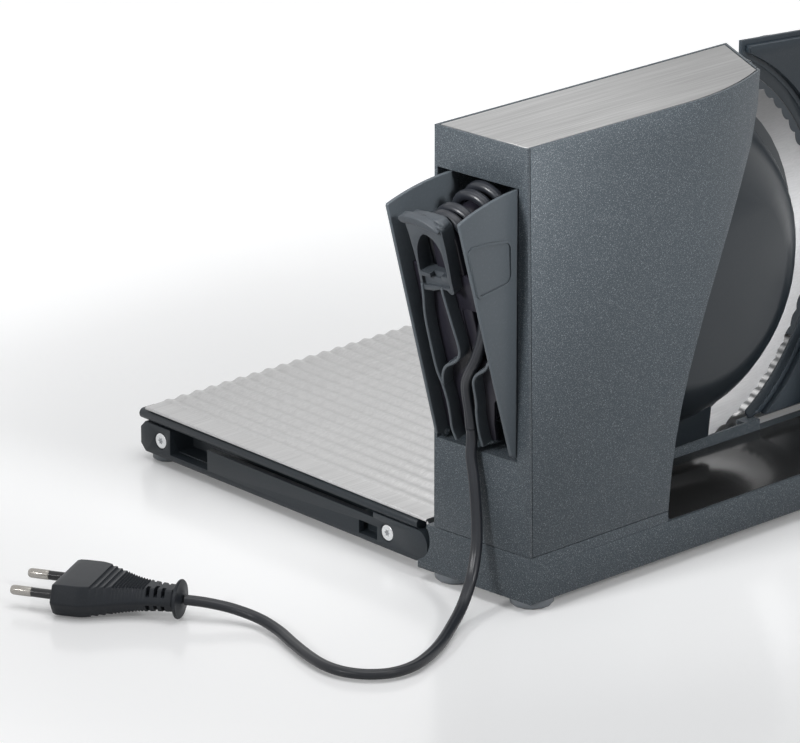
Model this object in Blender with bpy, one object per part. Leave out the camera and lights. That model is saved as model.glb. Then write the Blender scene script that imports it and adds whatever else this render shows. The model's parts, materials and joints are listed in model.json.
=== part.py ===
"""Compact food slicer: a tower with a sprung-out cord cassette, a serrated round blade with its worm drive,
a thickness stop, and a food carriage that rides two rods on a fold-up support behind the base.

Metres, +Z up. X runs along the machine from the cord end, Y from the logo face to the carriage. Places below
are measured from the table under the near corner of the cord end; the last step moves the whole machine so
that its origin is on the table under the middle of the foot at that corner.
"""

import math

import bmesh
import bpy
from mathutils import Matrix, Vector

for old in list(bpy.data.objects):
    bpy.data.objects.remove(old, do_unlink=True)

# ---------------------------------------------------------------- general sizes
CLEAR = 0.0003  # between pieces that seat on one another
OVER = 0.004  # how far a cut runs past what it cuts
ROUND_STEPS = 28
BIG_ROUND_STEPS = 52
SMALL_ROUND_STEPS = 14
WALL = 0.0025
SHEET = 0.0012
EDGE_SHARP = math.radians(32)

UP = Vector((0, 0, 1))
ALONG = Vector((1, 0, 0))
ACROSS = Vector((0, 1, 0))

# ---------------------------------------------------------------- base and feet
FOOT_HEIGHT = 0.0047
FOOT_RADIUS = 0.009
FOOT_PLUG_RADIUS = 0.004
FOOT_PLUG_LENGTH = 0.004
FOOT_INSET = 0.0105
BASE_LENGTH = 0.300
BASE_DEPTH = 0.060
TRAY_HEIGHT = 0.015
PLATEAU_HEIGHT = 0.0195
PLATEAU_FRONT = 0.0493  # where the raised strip behind the tray starts
PLATEAU_BACK = 0.0553
PLATEAU_END = 0.179
BASE_CORNER = 0.004
SCOOP_RADIUS = 0.010  # hollow along the back edge, which lets the support turn
SCOOP_BEHIND = 0.0035
SCOOP_Y = BASE_DEPTH + SCOOP_BEHIND
SCOOP_HEIGHT = 0.0125
RIB_CELL = 0.030
RIB_WALL = 0.003
RIB_DEPTH = 0.007
SLOT_FRONT = 0.0505
SLOT_MARGIN = 0.0035
SLOT_FLOOR = 0.0075

# ---------------------------------------------------------------- tower
END_SKEW = math.radians(5)  # the cord end isn't square to the logo face
TOWER_BACK = 0.0512
TOWER_LEAN = 0.0035
TOWER_RUN_FOOT = 0.0763  # right edge of the logo face at the seam
TOWER_RUN_TOP = 0.1398
BOW_START = 0.088
BOW_DEPTH = 0.0122
SIDE_RECEDE_SHARE = 0.47
PANEL_THICK = 0.0030
PANEL_LAP = 0.0012
DECK = 0.0040
TOP_PLATE_THICK = 0.0015
TOP_PLATE_INSET = 0.0016
TOP_PLATE_GAP = 0.0006
TOWER_ROWS = 13
TOWER_COLUMNS = 9

# ---------------------------------------------------------------- cord compartment and cassette
BAY_NEAR = 0.0075
BAY_FAR = 0.0497
BAY_FLOOR = 0.0582
BAY_DEPTH = 0.042
BAY_ROUND = 0.002
CASSETTE_TILT = math.radians(16.7)
CASSETTE_PROUD = 0.0018
CASSETTE_FOOT = 0.0592
CASSETTE_GAP = 0.0008
CHEEK = 0.0016
CHEEK_HEIGHT = 0.1098
CHEEK_DEPTH = 0.036
FAR_CHEEK_LEAN = 0.0020
CASSETTE_PIN_SET = 0.0048  # pin centre behind the cheek's front edge
CASSETTE_PIN_RADIUS = 0.0012
CASSETTE_PIN_HEAD = 0.0019
CASSETTE_PIN_BITE = 0.0009
WEB_DEPTH = 0.0060
WEB_THICK = 0.0016
WEB_FOOT = 0.0020
WEB_TOP = 0.0800
RIB_THICK = 0.0013
CORE_U = 0.0260
CORE_RADIUS = 0.0068
CORE_WALL = 0.0014
CORE_TOP = 0.1008
CORE_FOOT = 0.0090
CORE_BACK = 0.0350
PAD_THICK = 0.0004
CORD_RADIUS = 0.0024
TURN_GAP = 0.0004
TURN_DEPTHS = (0.0330, 0.0262, 0.0158, 0.0102)
TURN_STEPS = 24
LEAD_IN_SHARE = 0.9
LEAD_OUT_DROP = 0.022
WINDOW_NEAR = 0.0125
WINDOW_FAR = 0.0240
WINDOW_FOOT = 0.0400
WINDOW_TOP = 0.0640
GLAND_RADIUS = 0.0027
GLAND_FLANGE = 0.0034
GLAND_LENGTH = 0.0060
GLAND_FLANGE_THICK = 0.0015
SHELF_THICK = 0.0020
SHELF_FOOT = 0.0060

# ---------------------------------------------------------------- blade and drive
BLADE_X = 0.12775
BLADE_RADIUS = 0.085
BLADE_SUNK = 0.00783  # how far its rim dips into the base
BLADE_HEIGHT = PLATEAU_HEIGHT + BLADE_RADIUS - BLADE_SUNK  # of the axis, above the base's underside
TOWER_OVER_BLADE = 0.00603
TOWER_TOP = BLADE_HEIGHT + BLADE_RADIUS + TOWER_OVER_BLADE  # above the base's underside
BAY_LINTEL = 0.0169
BAY_ROOF = TOWER_TOP - BAY_LINTEL
BLADE_FRONT = 0.0522
BLADE_THICK = 0.0024
BLADE_EDGE = 0.0004
BEVEL_WIDTH = 0.010
TEETH = 72
TOOTH_DEPTH = 0.0017
TOOTH_STEPS = 3
SHAFT_RADIUS = 0.005
SHAFT_FLANGE_RADIUS = 0.014
SHAFT_FLANGE = 0.0009
COVER_FRONT = 0.020
COVER_FLAT_RADIUS = 0.040
RIM_SHOWN = 0.0107  # bright ring of blade round its cover
COVER_RADIUS = BLADE_RADIUS - RIM_SHOWN
COVER_SHOULDER_IN = 0.0063
COVER_SHOULDER_RADIUS = COVER_RADIUS - COVER_SHOULDER_IN
COVER_SHOULDER = 0.046
COVER_NECK_IN = 0.0043
COVER_NECK_RADIUS = COVER_RADIUS - COVER_NECK_IN
COVER_NECK = 0.0497
COVER_BACK = 0.0519
COVER_BULGE = 0.0042
COVER_STEPS = 5
PEDESTAL_FRONT = 0.0440
PEDESTAL_BACK = 0.0492
PEDESTAL_START = 0.1030
PEDESTAL_FOOT_END = 0.1479
PEDESTAL_TOP_END = 0.1535
PEDESTAL_TOP = 0.0440
GEAR_PLATE_FRONT = 0.0486
GEAR_PLATE_THICK = 0.0020
BUSH_WALL = 0.0034
WHEEL_RADIUS = 0.027
WHEEL_FRONT = 0.025
WHEEL_THICK = 0.009
WHEEL_TEETH = 36
WHEEL_TOOTH = 0.0014
WHEEL_WEB = 0.0035
WHEEL_RIM = 0.006
WORM_RADIUS = 0.005
WORM_CORE = 0.0036
WORM_LENGTH = 0.020
WORM_ROD = 0.002
WORM_TAIL = 0.0033
WORM_RINGS = 8
MOTOR_RADIUS = 0.018
MOTOR_START = 0.049
MOTOR_END = 0.092
MOTOR_NOSE = 0.0075
MOTOR_BEARING = 0.012
BRACKET_THICK = 0.0025
BRACKET_MARGIN = 0.003
LOCK_RADIUS = 0.020
LOCK_THICK = 0.0020
LOCK_GRIP_HEIGHT = 0.0018
LOCK_GRIP_WIDTH = 0.006
LOCK_EDGE = 0.0008

# ---------------------------------------------------------------- thickness stop and controls
STOP_FRONT = 0.0495
STOP_BODY = 0.0028
STOP_SHEET = 0.0019
STOP_LEFT = 0.167
STOP_INSET_RIGHT = 0.012
STOP_RIGHT = BASE_LENGTH - STOP_INSET_RIGHT
STOP_TOP = 0.186
STOP_SLOPE = math.radians(4.3)
STOP_GAP = 0.0065  # from the blade's rim to the stop's curved edge
STOP_UNDER = 0.0010
STOP_INSET = 0.0022
STOP_TRAVEL = 0.015
STOP_ARC_STEPS = 30
CARRIER_INSET = 0.039
CARRIER_X = BASE_LENGTH - CARRIER_INSET
CARRIER_WIDTH = 0.026
CARRIER_NOSE = 0.022
RAIL_WIDTH = 0.014
RAIL_HEIGHT = 0.0042
RAIL_FRONT = 0.0085
PINION_Y = 0.0262
PINION_HEIGHT = 0.0480
PINION_PITCH = 0.004
PINION_ROD = 0.0025
HOUSING_INSET = 0.004
HOUSING_WIDTH = 0.070
HOUSING_RIGHT = BASE_LENGTH - HOUSING_INSET
HOUSING_LEFT = HOUSING_RIGHT - HOUSING_WIDTH
HOUSING_FRONT = 0.0025
HOUSING_BACK = 0.0340
HOUSING_HEIGHT = 0.054
HOUSING_SLOPE = 0.003
HOUSING_ROUND = 0.006
KNOB_RADIUS = 0.021
KNOB_THICK = 0.016
KNOB_SKIRT = 0.0030
KNOB_FLUTES = 14
KNOB_FLUTE = 0.0012
BUTTON_HEIGHT = 0.040
POWER_SET = 0.014
POWER_X = HOUSING_LEFT + POWER_SET
POWER_RADIUS = 0.0085
POWER_TRAVEL = 0.0025
LOCK_SET = 0.0335
LOCK_X = HOUSING_LEFT + LOCK_SET
LOCK_BUTTON_RADIUS = 0.0050
LOCK_TRAVEL = 0.0020
BUTTON_STEM = 0.0030
BUTTON_PROUD = 0.0022
BUTTON_BODY = 0.0060

# ---------------------------------------------------------------- support frame and carriage
HINGE_BEHIND = 0.007
HINGE_Y = BASE_DEPTH + HINGE_BEHIND
HINGE_HEIGHT = 0.0063
KNUCKLE_RADIUS = 0.007
ARM_WIDTH = 0.016
ARM_END_OUT = 0.1785
ARM_END = BASE_DEPTH + ARM_END_OUT
ARM_FOOT = -0.0010
ARM_TOP = 0.0124
ARM_WALL = 0.003
ARM_LOW_TOP = 0.0105
ARM_NEAR_BLOCK_OUT = 0.0325
ARM_NEAR_BLOCK = BASE_DEPTH + ARM_NEAR_BLOCK_OUT
ARM_FAR_BLOCK_OUT = 0.1595
ARM_FAR_BLOCK = BASE_DEPTH + ARM_FAR_BLOCK_OUT
ARM_NOTCH = 0.0239
ARM_NOTCH_FLOOR = 0.0015
ARM_SLOT_FROM_OUT = 0.0300
ARM_SLOT_FROM = BASE_DEPTH + ARM_SLOT_FROM_OUT
ARM_SLOT_TO_OUT = 0.0410
ARM_SLOT_TO = BASE_DEPTH + ARM_SLOT_TO_OUT
ARM_SLOT_FOOT = 0.0013
ARM_SLOT_TOP = 0.0070
ARM_INSET = 0.012
ARM_RIGHT = BASE_LENGTH - ARM_INSET
EAR_WIDTH = 0.012
EAR_RADIUS = 0.0055
HINGE_PIN_RADIUS = 0.0025
ROD_RADIUS = 0.004
ROD_NEAR_OUT = 0.0241
ROD_NEAR_Y = BASE_DEPTH + ROD_NEAR_OUT
ROD_FAR_OUT = 0.1657
ROD_FAR_Y = BASE_DEPTH + ROD_FAR_OUT
ROD_HEIGHT = 0.0061
SCREW_HEAD = 0.0035
SCREW_HEAD_THICK = 0.0016
SCREW_SHANK = 0.0018
SCREW_LENGTH = 0.010
SUPPORT_FOOT_RADIUS = 0.0065
CARRIAGE_SHORT = 0.008
CARRIAGE_LENGTH = BASE_LENGTH - CARRIAGE_SHORT
CARRIAGE_NEAR_OUT = 0.0008
CARRIAGE_NEAR = BASE_DEPTH + CARRIAGE_NEAR_OUT
CARRIAGE_FAR_OUT = 0.1755
CARRIAGE_FAR = BASE_DEPTH + CARRIAGE_FAR_OUT
CARRIAGE_UNDER = 0.0176
CARRIAGE_TOP = 0.0189  # middle height of the ridges
RIDGE_PITCH = 0.008
RIDGE_RISE = 0.0005
RIDGE_STEPS = 6
CARRIAGE_MARGIN = 0.009
CARRIAGE_LIP = 0.0036
PROFILE_WIDTH = 0.0085
PROFILE_FRONT_OUT = 0.0060
PROFILE_FRONT = BASE_DEPTH + PROFILE_FRONT_OUT
PROFILE_BACK_OUT = 0.1790
PROFILE_BACK = BASE_DEPTH + PROFILE_BACK_OUT
PROFILE_FOOT = 0.0128
PROFILE_SET = 0.0004
CARRIAGE_TRAVEL = 0.150
BLOCK_INSET = 0.119
BLOCK_START = BASE_LENGTH - BLOCK_INSET
BLOCK_LENGTH = 0.088
BLOCK_WIDTH = 0.016
BLOCK_FOOT = 0.0005
BLOCK_BEARING = 0.012
WALL_INSET = 0.038
WALL_X = BASE_LENGTH - WALL_INSET
WALL_THICK = 0.0036
WALL_NEAR_OUT = 0.0002
WALL_NEAR = BASE_DEPTH + WALL_NEAR_OUT
WALL_FAR_OUT = 0.0880
WALL_FAR = BASE_DEPTH + WALL_FAR_OUT
WALL_TOP = 0.152
WALL_ROUND = 0.022
WALL_FLANGE = 0.016
WALL_FLANGE_THICK = 0.003

# ---------------------------------------------------------------- free cord and plug
PLUG_PIN_RADIUS = 0.002
PLUG_PIN_LENGTH = 0.019
PLUG_PIN_SPACING = 0.0186
PLUG_PIN_BARE = 0.009
PLUG_ROOT = Vector((-0.1264, 0.1349, 0.0071))
PLUG_HEADING = math.radians(119)
PLUG_LENGTH = 0.047
PLUG_HEIGHT = 0.0132
PLUG_WIDTH = 0.0345
PLUG_FLANGE_RADIUS = 0.0070
PLUG_FLANGE_THICK = 0.0035
CORD_STEPS = 56

HINGE = Vector((0, HINGE_Y, FOOT_HEIGHT + HINGE_HEIGHT))
BLADE_CENTRE = Vector((BLADE_X, 0, FOOT_HEIGHT + BLADE_HEIGHT))
SEAM = FOOT_HEIGHT + PLATEAU_HEIGHT
TRAY = FOOT_HEIGHT + TRAY_HEIGHT
ROOF = FOOT_HEIGHT + TOWER_TOP

END_ALONG = Vector((-math.sin(END_SKEW), math.cos(END_SKEW), 0))


# ---------------------------------------------------------------- tools
def finish(name, colour, roughness, metallic=0.0):
    made = bpy.data.materials.new(name)
    made.use_nodes = True
    surface = made.node_tree.nodes["Principled BSDF"]
    surface.inputs["Base Color"].default_value = (*colour, 1)
    surface.inputs["Roughness"].default_value = roughness
    surface.inputs["Metallic"].default_value = metallic
    return made


HOUSING_PAINT = finish("housing_paint", (0.085, 0.105, 0.125), 0.45, 0.35)
CASSETTE_PLASTIC = finish("cassette_plastic", (0.075, 0.090, 0.105), 0.42)
DARK_PLASTIC = finish("dark_plastic", (0.050, 0.062, 0.075), 0.40)
DARK_GLOSS = finish("dark_gloss", (0.012, 0.012, 0.016), 0.18)
BRUSHED_STEEL = finish("brushed_steel", (0.48, 0.47, 0.46), 0.34, 1.0)
BRIGHT_STEEL = finish("bright_steel", (0.72, 0.72, 0.72), 0.20, 1.0)
CARRIAGE_STEEL = finish("carriage_steel", (0.62, 0.62, 0.62), 0.38, 1.0)
FOOT_RUBBER = finish("foot_rubber", (0.22, 0.24, 0.26), 0.55)
CORD_RUBBER = finish("cord_rubber", (0.035, 0.042, 0.055), 0.35)
GEAR_NYLON = finish("gear_nylon", (0.70, 0.68, 0.60), 0.50)
BRASS = finish("bearing_brass", (0.60, 0.42, 0.16), 0.35, 1.0)


def tidy(bm):
    bmesh.ops.recalc_face_normals(bm, faces=bm.faces)
    return bm


def loft(rings):
    """A closed body through rings of points, with flat ends."""
    bm = bmesh.new()
    rows = [[bm.verts.new(point) for point in ring] for ring in rings]
    for low, high in zip(rows, rows[1:]):
        for i, corner in enumerate(low):
            j = (i + 1) % len(low)
            bm.faces.new((corner, low[j], high[j], high[i]))
    bm.faces.new(rows[0][::-1])
    bm.faces.new(rows[-1])
    return tidy(bm)


def prism(outline, start, along):
    """An outline pushed along a direction from a start offset."""
    return loft([[point + start for point in outline], [point + start + along for point in outline]])


def slab(low, high):
    (x0, y0, z0), (x1, y1, z1) = low, high
    outline = [Vector(p) for p in ((x0, y0, z0), (x1, y0, z0), (x1, y1, z0), (x0, y1, z0))]
    return prism(outline, Vector((0, 0, 0)), Vector((0, 0, z1 - z0)))


def turned(profile, centre, axis, steps=ROUND_STEPS):
    """(radius, distance) points turned about an axis through a centre; ends on the axis close the body."""
    bm = bmesh.new()
    whole = profile[0][0] == 0 and profile[-1][0] == 0
    columns = []
    for step in range(steps):
        angle = math.tau * step / steps
        columns.append([
            bm.verts.new((r * math.cos(angle), r * math.sin(angle), h)) if r > 0 else None for r, h in profile
        ])
    tips = {i: bm.verts.new((0, 0, h)) for i, (r, h) in enumerate(profile) if r == 0}
    pairs = [(i, i + 1) for i in range(len(profile) - 1)]
    if not whole:
        pairs.append((len(profile) - 1, 0))
    for step, column in enumerate(columns):
        beside = columns[(step + 1) % steps]
        for i, j in pairs:
            corners = [column[i] or tips[i], beside[i] or tips[i], beside[j] or tips[j], column[j] or tips[j]]
            ring = list(dict.fromkeys(corners))
            if len(ring) > 2:
                bm.faces.new(ring)
    turn = UP.rotation_difference(axis).to_matrix().to_4x4()
    bmesh.ops.transform(bm, matrix=Matrix.Translation(centre) @ turn, verts=bm.verts)
    return tidy(bm)


def rod(radius, centre, axis, length, steps=ROUND_STEPS):
    return turned([(0, 0), (radius, 0), (radius, length), (0, length)], centre, axis, steps)


def arc(centre_a, centre_b, radius, start, stop, steps):
    """Points (a, b) of an arc in degrees, both ends included."""
    angles = [math.radians(start + (stop - start) * i / steps) for i in range(steps + 1)]
    return [(centre_a + radius * math.cos(t), centre_b + radius * math.sin(t)) for t in angles]


def smooth_line(points, steps, closed=False):
    """A Catmull-Rom curve through points, read at even steps between neighbours."""
    count = len(points)
    spans = count if closed else count - 1
    line = []
    for i in range(spans):
        near = [points[(i + k) % count] if closed else points[min(max(i + k, 0), count - 1)] for k in (-1, 0, 1, 2)]
        for k in range(steps):
            t = k / steps
            line.append(
                0.5 * (2 * near[1] + (near[2] - near[0]) * t
                       + (2 * near[0] - 5 * near[1] + 4 * near[2] - near[3]) * t * t
                       + (3 * near[1] - near[0] - 3 * near[2] + near[3]) * t ** 3))
    if not closed:
        line.append(points[-1].copy())
    return line


def thing(name, bm, material, origin=None, pivot=None, smooth=True):
    """A named object from a bmesh made in place; its origin, or its parent empty, marks where it turns or sits."""
    centre = origin or Vector((0, 0, 0))
    bmesh.ops.translate(bm, verts=bm.verts, vec=-centre)
    mesh = bpy.data.meshes.new(name)
    bm.to_mesh(mesh)
    bm.free()
    mesh.materials.append(material)
    made = bpy.data.objects.new(name, mesh)
    bpy.context.scene.collection.objects.link(made)
    made.location = centre
    if smooth:
        mesh.shade_smooth()
        mesh.set_sharp_from_angle(angle=EDGE_SHARP)
    if pivot:
        made.parent = pivot
        made.matrix_parent_inverse = Matrix.Translation(pivot.location).inverted()
    return made


def helper(bm):
    made = thing("helper", bm, HOUSING_PAINT)
    made.hide_render = True
    made.display_type = "WIRE"
    return made


def boolean(target, bm, operation, solver):
    change = target.modifiers.new(operation.lower(), "BOOLEAN")
    change.operation = operation
    change.solver = solver
    change.object = helper(bm)


def cut(target, *bodies, solver="EXACT"):
    for bm in bodies:
        boolean(target, bm, "DIFFERENCE", solver)


def join(target, *bodies, solver="EXACT"):
    for bm in bodies:
        boolean(target, bm, "UNION", solver)


def axis_empty(name, place):
    made = bpy.data.objects.new(name, None)
    bpy.context.scene.collection.objects.link(made)
    made.location = place
    return made


# ---------------------------------------------------------------- frames of reference
END_OUT = Vector((-math.cos(END_SKEW), -math.sin(END_SKEW), 0))
CASSETTE_UP = END_OUT * math.sin(CASSETTE_TILT) + UP * math.cos(CASSETTE_TILT)
CASSETTE_IN = END_OUT * -math.cos(CASSETTE_TILT) + UP * math.sin(CASSETTE_TILT)
CASSETTE_CORNER = END_OUT * CASSETTE_PROUD + UP * (FOOT_HEIGHT + CASSETTE_FOOT)
CASSETTE_NEAR = (BAY_NEAR + CASSETTE_GAP) / math.cos(END_SKEW)
CASSETTE_FAR = (BAY_FAR - CASSETTE_GAP) / math.cos(END_SKEW)


def cassette_point(along, height, depth):
    """A point of the tilted cassette: along the skewed end, up its front edge, and inwards from that edge."""
    return CASSETTE_CORNER + END_ALONG * along + CASSETTE_UP * height + CASSETTE_IN * depth


CASSETTE_AXIS = cassette_point(CASSETTE_NEAR, 0, CASSETTE_PIN_SET)


# ---------------------------------------------------------------- base
def base_outline(inset=0.0):
    """Plan of the base, its cord end skewed, points from the near corner round."""
    near, far = inset, BASE_DEPTH - inset
    left_near = inset - math.tan(END_SKEW) * near
    left_far = inset - math.tan(END_SKEW) * far
    right = BASE_LENGTH - inset
    corner = BASE_CORNER
    return [Vector((x, y, 0)) for x, y in (
        (left_near, near), *arc(right - corner, near + corner, corner, -90, 0, 5),
        *arc(right - corner, far - corner, corner, 0, 90, 5), (left_far, far))]


def base_casting():
    under = FOOT_HEIGHT
    base = thing("base_casting", prism(base_outline(), UP * under, UP * TRAY_HEIGHT), HOUSING_PAINT)
    lift = PLATEAU_HEIGHT - TRAY_HEIGHT
    sunk = UP * (under + TRAY_HEIGHT - RIB_WALL)
    foot = [Vector((p.x, p.y, 0)) for p in tower_ring(SEAM)]
    join(base, prism(foot, sunk, UP * (lift + RIB_WALL)), solver="MANIFOLD")
    strip = [Vector((x, y, 0)) for x, y in (
        (PLATEAU_END, PLATEAU_FRONT), (PLATEAU_END, BASE_DEPTH),
        (-math.tan(END_SKEW) * BASE_DEPTH, BASE_DEPTH), (-math.tan(END_SKEW) * PLATEAU_FRONT, PLATEAU_FRONT))]
    join(base, prism(strip, sunk, UP * (lift + RIB_WALL)), solver="MANIFOLD")
    scoop = Vector((-BASE_DEPTH, SCOOP_Y, under + SCOOP_HEIGHT))
    cut(base, rod(SCOOP_RADIUS, scoop, ALONG, BASE_LENGTH + 2 * BASE_DEPTH), solver="MANIFOLD")
    back_top = slab((-BASE_DEPTH, PLATEAU_BACK, under + SCOOP_HEIGHT),
                    (BASE_LENGTH + OVER, BASE_DEPTH + OVER, under + PLATEAU_HEIGHT + OVER))
    cut(base, back_top, solver="MANIFOLD")
    for x in (ARM_WIDTH, ARM_RIGHT - ARM_WIDTH - EAR_WIDTH):
        ear = [Vector((0, y, z)) for y, z in (
            *arc(HINGE.y, HINGE.z, EAR_RADIUS, -90, 90, 8),
            (BASE_DEPTH - RIB_WALL, HINGE.z + EAR_RADIUS / 2), (BASE_DEPTH - RIB_WALL, HINGE.z - EAR_RADIUS))]
        join(base, prism(ear, ALONG * (x + CLEAR), ALONG * (EAR_WIDTH - CLEAR)), solver="MANIFOLD")
        cut(base, rod(HINGE_PIN_RADIUS + CLEAR, Vector((x - OVER, HINGE.y, HINGE.z)), ALONG,
                      EAR_WIDTH + 2 * OVER, SMALL_ROUND_STEPS), solver="MANIFOLD")
    slot_reach = math.sqrt((BLADE_RADIUS + SLOT_MARGIN) ** 2 - (BLADE_HEIGHT - PLATEAU_HEIGHT) ** 2)
    cut(base, slab((BLADE_X - slot_reach, SLOT_FRONT, under + SLOT_FLOOR),
                   (BLADE_X + slot_reach, BASE_DEPTH + OVER, under + PLATEAU_HEIGHT + OVER)), solver="MANIFOLD")
    columns = int((BASE_LENGTH - 2 * RIB_WALL) / (RIB_CELL + RIB_WALL))
    row_width = (BASE_DEPTH - 3 * RIB_WALL) / 2
    floor = SLOT_FLOOR - RIB_WALL
    for column in range(1, columns - 1):
        for row in range(2):
            x = RIB_WALL + column * (RIB_CELL + RIB_WALL)
            y = RIB_WALL + row * (row_width + RIB_WALL)
            depth = min(RIB_DEPTH, floor) if row else RIB_DEPTH
            cut(base, slab((x, y, under - OVER), (x + RIB_CELL, y + row_width - row * RIB_WALL, under + depth)), solver="MANIFOLD")
    for place in foot_places():
        cut(base, rod(FOOT_PLUG_RADIUS + CLEAR, place - UP * (FOOT_HEIGHT + OVER), UP,
                      FOOT_HEIGHT + OVER + FOOT_PLUG_LENGTH + CLEAR, SMALL_ROUND_STEPS), solver="MANIFOLD")


def foot_places():
    """Centres of the feet at the height of the base's underside."""
    far = BASE_DEPTH - FOOT_INSET
    return [Vector((x, y, FOOT_HEIGHT)) for x, y in (
        (FOOT_INSET, FOOT_INSET), (FOOT_INSET - math.tan(END_SKEW) * far, far),
        (BASE_LENGTH - FOOT_INSET, FOOT_INSET), (BASE_LENGTH - FOOT_INSET, far))]


def foot(name, place, radius, height):
    """A soft turned foot with a plug that presses into the piece above it."""
    edge = radius / 8
    profile = [(0, 0), (radius - edge, 0), (radius, edge), (radius, height - CLEAR), (FOOT_PLUG_RADIUS, height - CLEAR),
               (FOOT_PLUG_RADIUS, height + FOOT_PLUG_LENGTH), (0, height + FOOT_PLUG_LENGTH)]
    thing(name, turned(profile, place - UP * height, UP, SMALL_ROUND_STEPS), FOOT_RUBBER, origin=place)


def feet():
    for name, place in zip(("foot_near_left", "foot_far_left", "foot_near_right", "foot_far_right"), foot_places()):
        foot(name, place, FOOT_RADIUS, FOOT_HEIGHT)


# ---------------------------------------------------------------- tower
# right edge of the logo face: share of the height, share of the run from foot to top
EDGE_SHARES = ((0.0, 0.0), (0.16, 0.058), (0.35, 0.20), (0.54, 0.415), (0.76, 0.74), (0.88, 0.93), (1.0, 1.0))


def eased(shares, at):
    """A smooth value through a table of shares; straight beyond its ends."""
    slopes = [
        (shares[min(i + 1, len(shares) - 1)][1] - shares[max(i - 1, 0)][1])
        / (shares[min(i + 1, len(shares) - 1)][0] - shares[max(i - 1, 0)][0]) for i in range(len(shares))]
    if at <= shares[0][0]:
        return shares[0][1] + slopes[0] * (at - shares[0][0])
    if at >= shares[-1][0]:
        return shares[-1][1] + slopes[-1] * (at - shares[-1][0])
    i = max(k for k, (place, _) in enumerate(shares[:-1]) if place <= at)
    (x0, y0), (x1, y1) = shares[i], shares[i + 1]
    span = x1 - x0
    t = (at - x0) / span
    return (y0 * (1 + 2 * t) * (1 - t) ** 2 + y1 * t * t * (3 - 2 * t)
            + span * (slopes[i] * t * (1 - t) ** 2 - slopes[i + 1] * t * t * (1 - t)))


def edge_run(height):
    """Where the logo face ends, at a height above the table."""
    share = (height - SEAM) / (ROOF - SEAM)
    return TOWER_RUN_FOOT + (TOWER_RUN_TOP - TOWER_RUN_FOOT) * eased(EDGE_SHARES, share)


def face_y(x, height):
    """The logo face: it leans back as it rises and bows back towards its right edge."""
    lean = TOWER_LEAN * (height - FOOT_HEIGHT) / TOWER_TOP
    bow = BOW_DEPTH * (max(x - BOW_START, 0) / (TOWER_RUN_TOP - BOW_START)) ** 2
    return lean + bow


def face_line(height, start, inset=0.0, columns=TOWER_COLUMNS):
    """Points of the logo face at a height, from the cord end to the right edge."""
    end = edge_run(height) - inset
    bend = min(BOW_START, (start + end) / 2)
    xs = [start] + [bend + (end - bend) * i / columns for i in range(columns + 1)]
    return [(x, face_y(x, height)) for x in xs]


def tower_ring(height, front_inset=0.0, inset=0.0, left_inset=0.0):
    """One level of the tower's outline, moved in by the insets."""
    back = TOWER_BACK - inset
    left = left_inset
    front = [(x, y + front_inset) for x, y in face_line(height, left - math.tan(END_SKEW) * front_inset, inset)]
    x_edge, y_edge = front[-1]
    recede = SIDE_RECEDE_SHARE * (back - y_edge)
    side = [(x_edge + recede * i / 3, y_edge + (back - y_edge) * i / 3) for i in (1, 2, 3)]
    rear = [(left - math.tan(END_SKEW) * back, back)]
    ring = [Vector((x, y, height)) for x, y in (*front, *side, *rear)]
    ring[0].x -= math.tan(END_SKEW) * face_y(0, height)
    return ring


def tower_body(bottom, top, **insets):
    levels = [bottom + (top - bottom) * i / (TOWER_ROWS - 1) for i in range(TOWER_ROWS)]
    return loft([tower_ring(level, **insets) for level in levels])


def bay_box():
    """The cord compartment, open at the cord end."""
    mouth = -math.tan(END_SKEW) * TOWER_BACK - OVER
    return slab((mouth, BAY_NEAR, FOOT_HEIGHT + BAY_FLOOR), (BAY_DEPTH, BAY_FAR, FOOT_HEIGHT + BAY_ROOF))


def cover_profile(inside=0.0):
    """Half section of the gear cover's outer form as (radius, Y); a wall's thickness further in where inside is set."""
    shoulder = [(COVER_FLAT_RADIUS, COVER_FRONT)]
    run = COVER_SHOULDER_RADIUS - COVER_FLAT_RADIUS
    rise = COVER_SHOULDER - COVER_FRONT
    for i in range(1, COVER_STEPS + 1):
        share = i / COVER_STEPS
        bulge = COVER_BULGE * math.sin(math.pi * share)
        shoulder.append((COVER_FLAT_RADIUS + run * share + bulge * rise / math.hypot(run, rise),
                         COVER_FRONT + rise * share - bulge * run / math.hypot(run, rise)))
    return [(max(r - inside * 1.2, 0), y + inside) for r, y in shoulder]


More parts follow.
